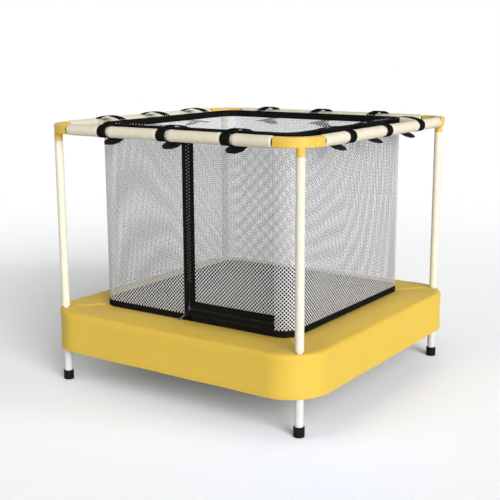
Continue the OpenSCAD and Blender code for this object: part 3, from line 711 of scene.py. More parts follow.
@dataclass(frozen=True)
class KnittedYarn(Finish):
    """Warp-knitted polyester yarn of the net: white crowns, with painted shade round each hole."""

    shade: str
    rim_mm: float
    hole_mm: float
    pitch_mm: float = 14.15
    # Loops of the knit are 1.2 mm long; they are drawn 2.4 mm long.
    knit_mm: float = 2.4

    def detail(self, tree: Tree, shader: bpy.types.Node) -> None:
        """Adds the ribs along the strands and painted shade where the yarn turns into the staggered holes.

        Args:
            tree: The material's node tree.
            shader: Its shader.
        """
        flat = add_node(tree, "UVMap", {"uv_map": "flat"}).outputs[0]
        vector = "VectorMath"
        cell = add_node(tree, vector, {"operation": "SCALE"}, {0: flat, "Scale": 1 / (self.pitch_mm * MM)})
        reaches = []
        for shift in (0.5, 1.0):
            moved = add_node(tree, vector, {"operation": "ADD"}, {0: cell.outputs[0], 1: (shift, shift, 0.5)})
            part = add_node(tree, vector, {"operation": "FRACTION"}, {0: moved.outputs[0]})
            off = add_node(tree, vector, {"operation": "SUBTRACT"}, {0: part.outputs[0], 1: (0.5, 0.5, 0.5)})
            reaches.append(add_node(tree, vector, {"operation": "LENGTH"}, {0: off.outputs[0]}).outputs["Value"])
        near = calc(tree, "MINIMUM", *reaches)
        # Painted shade: the yarn is coloured darker from rim_mm in to hole_mm from each hole's middle.
        turn = ranged(tree, near, self.hole_mm / self.pitch_mm, self.rim_mm / self.pitch_mm, 1.0, 0.0)
        # A wave of scale 1 repeats 20 times over the square root of 2 metres, across its diagonal.
        inputs = {"Vector": flat, "Scale": 1 / (self.knit_mm * MM) / 20, "Distortion": 1.5, "Detail Scale": 2.0}
        ribs = add_node(tree, "TexWave", {"bands_direction": "DIAGONAL"}, inputs).outputs["Fac"]
        self.bumped(shader, ribs, 0.2, 0.5)
        self.tinted(shader, calc(tree, "MULTIPLY_ADD", ribs, 0.12, turn, clamp=True), self.shade)
        feed(shader, {"Sheen Weight": 0.1})


WHITE_COAT = PowderCoat("white powder coat on steel", "#F1F1EF", 0.34)
ZINC = ZincPlate("zinc-plated spring steel", "#C6C5C0", 0.35)
FOOT_RUBBER = MouldedRubber("moulded foot rubber", "#0D0D0D", 0.75)
CREAM_FOAM = FoamSkin("cream foam sleeve", "#FBF6E4", 0.72, "#F4EDD6")
# Painted shade: the rails' foam is a darker, warmer copy of the posts' cream foam, for shade and warm bounce light on
# the rails.
SHADED_RAIL_FOAM = FoamSkin("cream foam round the top rails, painted darker and warmer", "#F9F1DC", 0.78, "#F1E6CB")
GREY_FOAM = FoamSkin("grey pad foam", "#C9CACC", 0.85, "#B4B5B8")
YELLOW_PLASTIC = MouldedPlastic("yellow moulded polypropylene", "#F4CE56", 0.42, "#ECC148")
BLACK_PLASTIC = MouldedPlastic("black moulded collar", "#191918", 0.45, "#242423")
PULL_PLASTIC = MouldedPlastic("grey moulded zip pull", "#6B6C6C", 0.55, "#5A5B5A")
WEBBING = Woven(
    "black polyester webbing", "#21211F", 0.85, "#111110",
    thread_mm=1.6, relief_mm=0.35, sheen=0.0, blotch_mm=80.0, gloss=0.0, ribs=0.6,
)
COVER_CLOTH = Woven(
    "yellow coated oxford cloth", "#F4D053", 0.6, "#EAC046",
    thread_mm=1.3, relief_mm=0.12, sheen=0.03, blotch_mm=140.0, gloss=0.36,
)
MAT_CLOTH = Woven(
    "black woven polypropylene mat", "#121213", 0.7, "#060607",
    thread_mm=3.0, relief_mm=0.5, sheen=0.02, blotch_mm=200.0, gloss=0.12,
)
STRAP_LINING = Pile("dark loop lining of the straps", "#1E1D1D", 0.9, "#141313")
FLAP_PILE = Pile("dark hook-and-loop flap", "#2A2021", 0.9, "#1A1414")
# The net yarns' second colours are the painted shade round the holes.
MESH_YARN = KnittedYarn("white knitted net yarn", "#F8FAFD", 0.7, "#161616", rim_mm=4.65, hole_mm=4.25)
# Painted light: the net's corners face the lamps, so their yarn is a brighter copy with a narrower band of painted
# shade round each hole.
LIT_CORNER_YARN = KnittedYarn(
    "net yarn painted brighter at the lit corners", "#FCFDFF", 0.7, "#1C1C1C", rim_mm=4.3, hole_mm=3.9
)
ZIP_NYLON = MouldedPlastic("black nylon zip coil", "#1D1D1C", 0.5, "#141413")
PALE_THREAD = MouldedPlastic("pale bonded sewing thread", "#E4E4E1", 0.6, "#C2C2BF")
BLACK_THREAD = MouldedPlastic("black bonded sewing thread", "#343432", 0.55, "#222221")
YELLOW_THREAD = MouldedPlastic("yellow sewing thread", "#E3B24A", 0.6, "#D29F36")
LACQUER = MouldedPlastic("black lacquered zip slider", "#050505", 0.5, "#0B0B0B")


# ---- the net's own geometry ----


@dataclass(frozen=True)
class NetLoop:
    """The rounded square that the net follows, seen from above."""

    half: float = NET_HALF
    radius: float = 0.064
    foot: float = 0.303
    tall: float = 0.733
    billow: float = 0.0022
    billow_half: float = 0.40
    pull: float = 0.0016
    pull_half: float = 0.035
    pull_low: float = 0.93
    pull_rise: float = 0.09
    stiff_half: float = 0.012
    stiff_top: float = 0.362

    @property
    def straight(self) -> float:
        """Length of a straight side."""
        return 2 * (self.half - self.radius)

    @property
    def arc(self) -> float:
        """Length of a rounded corner."""
        return QUARTER * self.radius

    @property
    def length(self) -> float:
        """Length of the whole loop."""
        return 4 * (self.straight + self.arc)

    def at(self, along: np.ndarray) -> tuple[np.ndarray, np.ndarray]:
        """Finds points of the loop.

        Args:
            along: Distances from the middle of the front, to the right.

        Returns:
            Points and outward directions, both with 2 columns last.
        """
        s = np.mod(along + self.straight / 2, self.length)
        k = np.floor(s / (self.straight + self.arc))
        t = s - k * (self.straight + self.arc)
        over = np.maximum(t - self.straight, 0)
        turn = over / self.radius
        x = np.where(over > 0, self.straight / 2 + self.radius * np.sin(turn), t - self.straight / 2)
        y = np.where(over > 0, -self.straight / 2 - self.radius * np.cos(turn), -self.half)
        nx, ny = np.sin(turn), -np.cos(turn)
        c, n = np.cos(k * QUARTER), np.sin(k * QUARTER)
        return np.stack([c * x - n * y, n * x + c * y], -1), np.stack([c * nx - n * ny, n * nx + c * ny], -1)

    def slack(self, along: np.ndarray, up: np.ndarray) -> np.ndarray:
        """Outward drift of the cloth: it is drawn out at the straps and hangs a little slack.

        Args:
            along: Distances along the net.
            up: Heights.

        Returns:
            The drift in metres.
        """
        s = np.mod(along + self.straight / 2, self.straight + self.arc) - self.straight / 2
        hang = np.sin(math.pi * np.clip((up - self.foot) / self.tall, 0, 1))
        inside = np.clip(1 - (np.abs(s) / self.billow_half) ** 4, 0, 1)
        waves = np.sin(s * 11 + up * 3) + 0.6 * np.sin(s * 23 - up * 7 + 1)
        drawn = sum(np.exp(-(((s - c) / self.pull_half) ** 2)) for c in STRAPS)
        drawn = drawn * smoothstep((up - self.pull_low) / self.pull_rise)
        # The zips' tapes are stiff, so the cloth lies flat beside them.
        free = smoothstep((np.abs(s) - self.stiff_half) / 0.05) * smoothstep((up - self.stiff_top) / 0.06)
        return (self.billow * hang * inside * waves + self.pull * drawn) * free

    def place(self, along: np.ndarray, up: np.ndarray, off: np.ndarray) -> np.ndarray:
        """Puts points on the net: a distance along it, a height and an offset outwards.

        Args:
            along: Distances along the net.
            up: Heights.
            off: Offsets outwards.

        Returns:
            The points.
        """
        xy, out = self.at(along)
        reach = (off + self.slack(along, up))[..., None]
        return np.concatenate([xy + out * reach, up[..., None]], -1)


@dataclass(frozen=True)
class Lattice:
    """The knitted mesh: diamonds of strands round staggered oval holes."""

    loop: NetLoop
    pitch: float = 0.01415
    hole_across: float = 0.0038
    hole_up: float = 0.0039
    relief: float = 0.0005

    def patch(self, start: float, end: float, low: float, high: float, keep: Callable | None = None) -> Shape:
        """Makes the cells whose middles lie in a box on the net.

        Args:
            start: Left end along the net.
            end: Right end along the net.
            low: Lower edge.
            high: Upper edge.
            keep: Optional test of the cells' middles.

        Returns:
            A single sheet with a hole in each cell.
        """
        p = self.pitch
        grids = []
        for shift in (0, 2):
            ends = ((start, end), (low, high))
            spans = [np.arange(math.floor(a / p) - 1, math.ceil(b / p) + 2) * 4 + shift for a, b in ends]
            grids.append(np.stack(np.meshgrid(*spans, indexing="ij"), -1).reshape(-1, 2))
        cells = np.concatenate(grids)
        u, z = (cells * p / 4).T
        inside = (u >= start) & (u < end) & (z >= low) & (z < high)
        if keep is not None:
            inside &= keep(u, z)
        cells = cells[inside]
        rim = np.array([[2, 0], [1, 1], [0, 2], [-1, 1], [-2, 0], [-1, -1], [0, -2], [1, -1]])
        unique, index = np.unique((cells[:, None, :] + rim[None]).reshape(-1, 2), axis=0, return_inverse=True)
        index = index.reshape(-1, 8)
        turn = np.arange(8) * math.pi / 4
        hole = np.stack([self.hole_across * np.cos(turn), self.hole_up * np.sin(turn)], -1)
        inner = (cells[:, None, :] * p / 4 + hole[None]).reshape(-1, 2)
        flat = np.concatenate([unique * p / 4, inner])
        off = np.concatenate([np.full(len(unique), self.relief), np.zeros(len(inner))])
        first = len(unique) + np.arange(len(cells))[:, None] * 8
        k, n = np.arange(8), (np.arange(8) + 1) % 8
        faces = np.stack([index[:, k], index[:, n], first + n, first + k], -1).reshape(-1, 4)
        return Shape(self.loop.place(flat[:, 0], flat[:, 1], off), [tuple(f) for f in faces.tolist()], flat)

    def cloth(self, width: float, tall: float) -> float:
        """Returns the area of cloth, without its holes, in a panel."""
        share = 1 - 2 * math.sqrt(2) * self.hole_across * self.hole_up / (self.pitch**2 / 2)
        return share * width * tall


@dataclass
class NetWalls:
    """The knitted mesh all round, in panels, with its bands, hem and sill."""

    loop: NetLoop
    lattice: Lattice
    low: float = 0.3046
    high: float = 1.0347
    band_low: float = 1.008
    band_high: float = 1.036
    hem_low: float = 0.3033
    hem_high: float = 0.3293
    sill_top: float = 0.3533
    sill_end: float = 0.3798
    zip_room: float = 0.0125
    stitch_step: float = 0.005

    def build(self) -> None:
        """Makes every piece of the net but the door."""
        s, a, total = self.loop.straight, self.loop.arc, self.loop.length
        self.panel("net_mesh_front", total - s / 2, total - self.zip_room, "net_front")
        for k, side in enumerate(SIDES[1:]):
            start = s / 2 + a + k * (s + a)
            self.panel(f"net_mesh_{side}", start, start + s, f"net_{side}")
        corners = [s / 2 + k * (s + a) for k in range(4)]
        bunched = replace(self.lattice, hole_across=0.0035, hole_up=0.0037)
        shape = joined([bunched.patch(c, c + a, self.low, self.high) for c in corners])
        self.sheet("net_mesh_corners", shape, LIT_CORNER_YARN, 4 * a, "net_corners")
        self.binding("net_band_top", self.band_high, self.band_low, "net_top_band")
        self.binding("net_hem_bottom", self.hem_low, self.hem_high, "net_bottom_hem")
        self.sill()

    def panel(self, name: str, start: float, end: float, node: str) -> None:
        """Makes one flat panel of mesh between two places along the net."""
        self.sheet(name, self.lattice.patch(start, end, self.low, self.high), MESH_YARN, end - start, node)

    def sheet(self, name: str, shape: Shape, yarn: "Finish", width: float, node: str) -> None:
        """Makes a piece of mesh that is stretched cloth on the root body.

        Args:
            name: The piece's name.
            shape: Its mesh.
            yarn: Its finish.
            width: Its width along the net.
            node: The CAD node that it stands for.
        """
        piece = fixed_piece(name, shape, [yarn], node)
        tall = self.high - self.low
        area = self.lattice.cloth(width, tall)

    def binding(self, name: str, fold: float, free: float, node: str) -> None:
        """Makes webbing folded over an edge of the mesh, with its two rows of stitches.

        Args:
            name: The piece's name.
            fold: Height of the folded edge.
            free: Height of the free edges.
            node: The CAD node that it stands for.
        """
        t, inner = NET_SKIN, 0.0009
        sign = 1 if free > fold else -1
        roll = [(fold + sign * (t - c), s) for c, s in arc(t, -QUARTER, QUARTER, 7)]
        deep = fold + sign * 0.002
        slot = [(free, t), (free, inner), (deep, inner), (deep, -inner), (free, -inner), (free, -t)]
        body = swept(np.array(roll + slot), np.linspace(0, self.loop.length, 481), self.loop.place)
        count = int(self.loop.length / self.stitch_step)
        u = np.arange(count) * self.loop.length / count
        out = level(self.loop.at(u)[1], 0.0)
        seams = [np.full(count, z) for z in (free - sign * 0.003, fold + sign * 0.0045)]
        rows = [NET_STITCH.row(self.loop.place(u, up, np.full(count, t)), out).marked(1) for up in seams]
        fixed_piece(name, joined([body, *rows]), [WEBBING, BLACK_THREAD], node)

    def sill(self) -> None:
        """Makes the door's black sill panel above the hem."""
        skin = NET_SKIN + 0.0001
        low = strip_profile(self.hem_high - 0.004, self.sill_top, skin, 4)
        body = swept(low, np.linspace(-0.0010, self.sill_end, 90), self.loop.place)
        count = int(self.sill_end / self.stitch_step)
        u = np.linspace(0.004, self.sill_end - 0.004, count)
        seams = [np.full(count, z) for z in (self.sill_top - 0.004, self.hem_high + 0.003)]
        rows = [NET_STITCH.row(self.loop.place(u, up, np.full(count, skin)), (0, -1, 0)).marked(1) for up in seams]
        shape = joined([body, *rows])
        fixed_piece("door_sill_panel", shape, [WEBBING, BLACK_THREAD], "door_sill")


@dataclass(frozen=True)
class Pull:
    """One zip's slider and pull: their names, the pull's sizes in millimetres and its lean."""

    end: str
    turn: float
    x: float
    z: float
    long: float
    tab: float
    lean: float
    tilt: float


@dataclass
class ZipDoor:
    """The net's door: a mesh panel with tapes, two zips, their sliders and pulls."""

    loop: NetLoop
    lattice: Lattice
    walls: NetWalls
    zip_low: float = 0.3543
    zip_high: float = 0.968
    sill_length: float = 0.319
    tape: float = 0.026
    tape_skin: float = NET_SKIN + 0.0002
    hem_high: float = 0.3833
    fold_room: float = 0.004
    edge: float = 0.001
    tooth_pitch: float = 0.0032
    stitch_low: float = 0.46
    stitch_pitch: float = 0.0125
    bar_out: float = 6.4
    pulls: tuple[Pull, ...] = (
        Pull("upright", 0, 0, 0.3703, long=22, tab=16, lean=0, tilt=0),
        Pull("sill", 90, 0.008, 0.3543, long=71, tab=35.5, lean=41, tilt=28),
    )

    def blend(self, piece: bpy.types.Object) -> None:
        """Bakes a door piece's place into its mesh.

        Args:
            piece: The piece.
        """
        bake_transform(piece)

    def halves(self, piece: bpy.types.Object, sign: int) -> None:
        """Attaches the net's half of a zip to the root body; the door's half only has its place baked: -1 is the
        net's, 1 the door's.

        Args:
            piece: The half.
            sign: Which side it is on.
        """
        if sign < 0:
            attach(piece, "root")
        else:
            self.blend(piece)

    def build(self) -> None:
        """Makes the door's pieces."""
        self.mesh()
        self.tapes()
        self.teeth()
        self.stitching()
        for pull in self.pulls:
            self.slider(pull)
        for pull in self.pulls:
            self.pull(pull)

    def mesh(self) -> None:
        """Makes the door's mesh, which runs on to the right of the door."""
        w = self.walls
        right = self.loop.straight / 2

        def keep(u: np.ndarray, z: np.ndarray) -> np.ndarray:
            """Leaves out what the sill panel covers."""
            return (z > self.zip_low + 0.008) | (u > w.sill_end - 0.004)

        shape = self.lattice.patch(w.zip_room, right, w.low, w.high, keep)
        piece = make_piece("net_mesh_door", shape, [MESH_YARN])
        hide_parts("net_door_fixed", "net_door_flap")
        self.blend(piece)
        tall = w.high - self.zip_low
        area = self.lattice.cloth(right, tall)

    def tapes(self) -> None:
        """Makes the black tapes on both sides of the zips."""
        skin, place = self.tape_skin, self.loop.place
        top = self.walls.band_low + 0.003
        up = np.linspace(self.walls.hem_high - 0.003, top, 130)
        left = swept(strip_profile(-self.tape, -self.edge, skin, 5), up, place, along_first=False)
        fixed_piece("zip_tape_on_net", left, [WEBBING], "zip_tape_net")
        low = self.zip_low + self.edge
        up = np.linspace(low, top, 130)
        side = swept(strip_profile(self.edge, self.tape, skin, 5), up, place, along_first=False)
        along = np.linspace(self.tape - 0.0004, self.walls.sill_end, 90)
        across = swept(strip_profile(low, self.hem_high, skin, 5), along, place)
        piece = make_piece("zip_tape_on_door", joined([side, across]), [WEBBING])
        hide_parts("zip_tape_door")
        self.blend(piece)

    def teeth(self) -> None:
        """Makes the two zips' coils, one half on each tape."""
        pitch = self.tooth_pitch
        for name, sign, shift in (("zip_coil_on_net", -1, 0.0), ("zip_coil_on_door", 1, 0.5)):
            up = np.arange(self.zip_low + 0.004, self.zip_high, pitch) + shift * pitch
            across = np.arange(0.006, self.sill_length, pitch) + shift * pitch
            rows = [self.coil(up, sign, True), self.coil(across, sign, False)]
            self.halves(make_piece(name, joined(rows), [ZIP_NYLON]), sign)

    def coil(self, at: np.ndarray, sign: int, upright: bool) -> Shape:
        """Makes one half of a zip's coil.

        Args:
            at: Places of the teeth along the zip.
            sign: -1 for the net's half, 1 for the door's.
            upright: Whether the zip runs up.

        Returns:
            The teeth.
        """
        inner, outer, wide, deep = -0.0006, 0.0022, 0.0011, 0.0021
        middle, half = np.full(len(at), sign * (inner + outer) / 2), (outer - inner) / 2
        a, b, across, along = (middle, at, 0, 2) if upright else (at, self.zip_low + middle, 2, 0)
        centre = self.loop.place(a, b, np.zeros(len(at)))
        upper = [(1, 0.35), (0.35, 1), (-0.35, 1), (-1, 0.35)]
        ring = np.array(upper + [(x, -y) for x, y in upper[::-1]])
        points = np.repeat(centre[:, None], 16, 1)
        points[:, :, across] += np.repeat([-half, half], 8)
        points[:, :, along] += np.tile(ring[:, 0] * wide, 2)
        points[:, :, 1] += np.tile(ring[:, 1] * deep, 2)
        return prisms(points)

    def stitching(self) -> None:
        """Makes the pale rows of thread beside the upright zip."""
        pitch = self.stitch_pitch
        for name, x, shift in (("zip_stitching_on_net", -0.0060, 0.5), ("zip_stitching_on_door", 0.0060, 0.0)):
            up = np.arange(self.stitch_low, self.walls.band_low - 0.004, pitch) + shift * pitch
            # The thread is drawn tighter, and so thinner, lower down.
            stitch = Stitch(0.0050, (0.0008 + 0.0013 * smoothstep((up - 0.55) / 0.35))[:, None], 0.0007)
            rows = []
            for face in (1, -1):
                middle = self.loop.place(np.full(len(up), x), up, np.full(len(up), face * self.tape_skin))
                rows.append(stitch.row(middle, (0.0, -face, 0)))
            self.halves(make_piece(name, joined(rows), [PALE_THREAD]), 1 if x > 0 else -1)

    def slider(self, pull: Pull) -> None:
        """Makes a slider: two plates, their bridge, and two ears with the bar for the pull.

        Args:
            pull: The zip's slider and pull.
        """
        half = [(2.6, -7), (3.4, -3), (4.5, 1), (4.3, 5.5), (2.2, 7), (0.8, 5.6)]
        outline = [(-2.6, -7)] + half + [(-x, z) for x, z in half[:0:-1]]
        blocks = [[(x, y, z) for y in ys for x, z in outline] for ys in ((-3.8, -2.2), (2.2, 3.8))]
        blocks.append([(x, y, z) for y in (-2.3, 2.3) for x, z in ((-0.6, -5), (0.6, -5), (0.6, 5), (-0.6, 5))])
        home = Matrix.Translation((pull.x, -self.loop.half, pull.z))
        parts = [prisms(np.array([b]) * MM).moved(home @ spin(pull.turn, "Y")) for b in blocks]
        round_end = [(c - self.bar_out, s) for c, s in arc(1.8, -QUARTER, -3 * QUARTER, 9)]
        ear = [(-2.6, -1.8), *round_end, (-2.6, 1.8)]
        for x in (-2.55, 2.55):
            parts.append(prisms(np.array([[(x + dx, y, z) for dx in (-0.75, 0.75) for y, z in ear]]) * MM).moved(home))
        bar = np.array([(x, -self.bar_out, 0) for x in np.linspace(-2.6, 2.6, 6)]) * MM
        parts.append(tube_shape(bar, 0.0008, 10).moved(home))
        piece = make_piece(f"slider_body_{pull.end}", joined(parts), [LACQUER])
        bevel = piece.modifiers.new("edges", "BEVEL")
        bevel.width = 0.0003
        bevel.segments = 2
        bevel.limit_method = "ANGLE"
        apply_modifiers(piece)
        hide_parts(f"zip_slider_{pull.end}")
        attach(piece, f"slider_{pull.end}")

    def pull(self, pull: Pull) -> None:
        """Makes a pull: an eye and neck, a leaning cord and a moulded tab with ribs.

        Args:
            pull: The zip's slider and pull.
        """
        neck, wire, half, thin = 3.6, 0.0006, 3.25, 0.8
        shoulder = pull.long - pull.tab - neck
        hang = Matrix.Translation((pull.x, -self.loop.half - self.bar_out * MM, pull.z))
        out = hang @ spin(-pull.tilt, "X")
        side = out @ Matrix.Translation((0, 0, -neck * MM)) @ spin(pull.lean, "Y")
        ring = np.array([(0, y, z) for y, z in arc(1.6, 0, 1.9 * math.pi, 20)]) * MM
        eye = tube_shape(ring, 0.00055, 8, closed=True)
        parts = [eye.moved(hang @ Matrix.Translation((x, 0, 0))) for x in (-0.0008, 0.0008)]
        for x in (-0.6, 0.6):
            root = [(x, 0, -1.9 - t * (neck - 1.7)) for t in np.linspace(0, 1, 4)]
            parts.append(tube_shape(np.array(root) * MM, wire).moved(out))
            cord = [(x * (1 - 0.3 * math.sin(math.pi * t)), 0, -t * (shoulder + 0.5)) for t in np.linspace(0, 1, 8)]
            parts.append(tube_shape(np.array(cord) * MM, wire).moved(side))
        rows = []
        for t in np.linspace(0, 1, 25):
            rounded = math.sqrt(1 - max(0, 1 - pull.tab * (1 - t) / half) ** 2) + 0.02
            end = min(1.0, rounded, 0.55 + t * 6)
            wide = half * end * (0.86 + 0.14 * t)
            ribbed = 0.3 < t < 0.85 and int(t * 24) % 2
            thick = thin * (1.25 if ribbed else 1) * min(1.0, end + 0.3)
            section = ((1, 0), (0.8, 1), (-0.8, 1), (-1, 0), (-0.8, -1), (0.8, -1))
            rows.append([(wide * c, thick * s, -shoulder - t * pull.tab) for c, s in section])
        grip = grid_shape(np.array(rows) * MM, np.zeros((25, 6, 2)), wrap=True, caps=True).moved(side)
        shape = joined([joined(parts).marked(1), grip])
        piece = make_piece(f"pull_tab_{pull.end}", shape, [PULL_PLASTIC, LACQUER])
        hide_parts(f"zip_pull_{pull.end}")
        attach(piece, f"pull_{pull.end}")


@dataclass
class RailStraps:
    """The straps that hold the net to the top rails, and their closing flaps, in millimetres."""

    width: float = 42.0
    thick: float = 1.8
    foam: float = 41.0
    room: float = 0.3
    rise: float = 20.0
    low: float = 28.0
    seat: float = 14.0
    seam: float = 3.5
    flap_half: float = 38.5
    flap_long: float = 53.0
    flap_cut: float = 17.0
    flap_root: float = 68.0
    flap_drop: float = 27.0
    flap_tilt: float = 24.0

    def middle_line(self) -> np.ndarray:
        """Returns the strap's middle line across the rail: a hump, a wrap and a straight tail.

        Returns:
            Points by 2, from the rail's middle.
        """
        r = self.foam / 2 + self.room + self.thick / 2
        end = (RAIL - NET_HALF - NET_SKIN) / MM - self.room
        far = math.hypot(end, self.low)
        last = 2 * math.pi + math.atan2(-self.low, end) - math.acos(r / far)
        first = math.radians(90 + self.rise)
        top = np.array([end, self.seat])
        n = np.array([math.cos(first), math.sin(first)])
        big = np.linalg.norm(top - r * n) ** 2 / (2 * (r - top @ n))
        centre = (r - big) * n
        start = math.atan2(top[1] - centre[1], top[0] - centre[0])
        hump = centre + np.array(arc(big, start, first, 28))
        wrap = np.array(arc(r, first, last, 48))[1:]
        way = np.array([-math.sin(last), math.cos(last)]) * math.sqrt(far**2 - r**2)
        return np.concatenate([hump, wrap, wrap[-1] + way * np.linspace(0, 1, 12)[1:, None]])

    def at_rail(self, x: np.ndarray | float, across: np.ndarray) -> np.ndarray:
        """Puts points of the plane across the front rail at their places along it, in metres."""
        x = np.broadcast_to(x, across.shape[:-1])[..., None]
        return np.concatenate([x, across + (-RAIL / MM, RAIL_Z / MM)], -1) * MM

    def build(self) -> None:
        """Makes the straps and flaps of every side."""
        line = self.middle_line()
        way = unit(np.gradient(line, axis=0))
        out = np.stack([way[:, 1], -way[:, 0]], -1)
        straps = joined([self.strap(line, out, x / MM) for x in STRAPS])
        flaps = []
        for k, side in enumerate(SIDES):
            finishes = [WEBBING, STRAP_LINING, BLACK_THREAD]
            fixed_piece(f"rail_straps_{side}", straps.turned(k), finishes, f"net_straps_{side}")
            flaps += [self.flap(x / MM, i + 3 * k).turned(k) for i, x in enumerate(STRAPS)]
        fixed_piece("strap_closing_flaps", joined(flaps), [FLAP_PILE, BLACK_THREAD], "strap_flaps")

    def strap(self, line: np.ndarray, out: np.ndarray, x: float) -> Shape:
        """Makes one strap: webbing outside, a looped lining inside, and cross stitches.

        Args:
            line: Middle line across the rail.
            out: Outward directions along the line.
            x: Place along the rail.

        Returns:
            The strap on the front side.
        """
        h, w, soft = self.thick / 2, self.width / 2, 0.5
        front = [(-w, 0), (soft - w, h), (-w / 2, h * 1.1), (0, h * 1.15), (w / 2, h * 1.1), (w - soft, h)]
        cross, off = np.array(front + [(w, 0), (w - soft, -h), (0, -h), (soft - w, -h)]).T
        lined = (6, 7, 8)
        run = run_along(line)
        points = self.at_rail(x + cross, line[:, None] + out[:, None] * off[:, None])
        flat = np.stack(np.broadcast_arrays(run[:, None], cross + off), -1) * MM
        shape = grid_shape(points, flat, wrap=True, caps=True)
        quads = len(shape.faces) - 2
        shape.marks = [int(i < quads and i % len(cross) in lined) for i in range(quads + 2)]
        at = np.arange(6, run[-1] - 4, 5.0)
        away = sampled(at, run, out)
        seam = sampled(at, run, line) + away * h * 1.1
        outward = np.pad(away, ((0, 0), (1, 0)))
        places = [self.at_rail(x + side * (w - self.seam), seam) for side in (-1, 1)]
        return joined([shape, *(STRAP_STITCH.row(p, outward).marked(2) for p in places)])

    def flap(self, x: float, number: int) -> Shape:
        """Makes one closing flap, which droops from the net under its strap.

        Args:
            x: Place along the rail.
            number: The flap's number, which sets how it has bent.

        Returns:
            The flap on the front side.
        """
        rng = np.random.default_rng(40 + number)
        curl, skew = rng.uniform(-2.5, 2.0), rng.uniform(-1.2, 1.2)
        upper = [(-1, 0), (-0.98, 1), (-0.5, 1.05), (0, 1.1), (0.5, 1.05), (0.98, 1)]
        lower = [(1, 0), (0.98, -1), (0.5, -1), (0, -1), (-0.5, -1), (-0.98, -1)]
        a, b = np.array(upper + lower).T
        t = np.linspace(0, 1, 22)[:, None]
        at = t * self.flap_long
        wide = a * (self.flap_half - np.maximum(0.0, at - (self.flap_long - self.flap_cut)))
        tilt = math.radians(self.flap_tilt)
        drop = self.flap_drop + at * math.sin(tilt) + curl * t * t
        y = self.flap_root - at * math.cos(tilt)
        z = 1.1 * b + skew * a * t + 1.2 * a * a * t - drop
        points = self.at_rail(x + wide, np.stack(np.broadcast_arrays(y, z), -1))
        flat = np.stack(np.broadcast_arrays(at, wide), -1) * MM
        return grid_shape(points, flat, wrap=True, caps=True)


@dataclass
class FoamSleeves:
    """The foam sleeves on the top rails and the posts."""

    rail_half: float = 0.4610
    rail_radius: float = 0.0205
    post_radius: float = 0.016
    bore: float = 0.0113
    post_low: float = 0.305
    post_high: float = 0.9717
    soft: float = 0.0045
    squeeze: float = 0.0032
    swell: float = 0.0006

    def build(self) -> None:
        """Makes the sleeves."""
        rail = self.sleeve(self.rail_radius, 2 * self.rail_half, self.grip)
        rail = rail.moved(Matrix.Translation((-self.rail_half, -RAIL, RAIL_Z)) @ spin(90, "Y"))
        post = self.sleeve(self.post_radius, self.post_high - self.post_low, self.dents)
        post = post.moved(Matrix.Translation((POST, POST, self.post_low)))
        for kind, shape, foam, ends in (("rail", rail, SHADED_RAIL_FOAM, SIDES), ("post", post, CREAM_FOAM, CORNERS)):
            for k, end in enumerate(ends):
                name, node = f"{kind}_sleeve_{end}", f"{kind}_foam_{end}"
                fixed_piece(name, shape.turned(k), [foam], node)

    def sleeve(self, radius: float, length: float, sag: Radius) -> Shape:
        """Makes a foam tube along Z with soft ends.

        Args:
            radius: Outer radius.
            length: Length.
            sag: Change of radius for (height, angle) arrays.

        Returns:
            The sleeve.
        """
        soft = self.soft
        bend = arc(soft, 0, QUARTER, 7)
        start = [(radius - soft + s, soft - c) for c, s in bend]
        middle = [(radius, z) for z in np.arange(soft, length - soft, 0.004)[1:]]
        end = [(radius - soft + c, length - soft + s) for c, s in bend]
        return turned_shape(np.array(start + middle + end + [(self.bore, length), (self.bore, 0.0)]), 40, sag)

    def grip(self, z: np.ndarray, angle: np.ndarray) -> np.ndarray:
        """The rail's foam is squeezed under the straps and swells beside them.

        Args:
            z: Heights along the sleeve.
            angle: Angles round it.

        Returns:
            The change of radius.
        """
        x = z - self.rail_half
        change = 0.0005 + 0.0002 * np.sin(x * 61 + 2 * angle)
        for centre in STRAPS:
            d = np.abs(x - centre)
            change = change - self.squeeze * (1 - smoothstep((d - 0.0185) / 0.015))
            change = change + self.swell * np.exp(-(((d - 0.036) / 0.008) ** 2))
        return change * smoothstep((self.rail_half - np.abs(x)) / 0.01)

    def dents(self, z: np.ndarray, angle: np.ndarray) -> np.ndarray:
        """The posts' foam is nearly true, with slight waves."""
        return 0.00018 * np.sin(z * 37 + angle * 2) + 0.00012 * np.sin(z * 91 - angle)


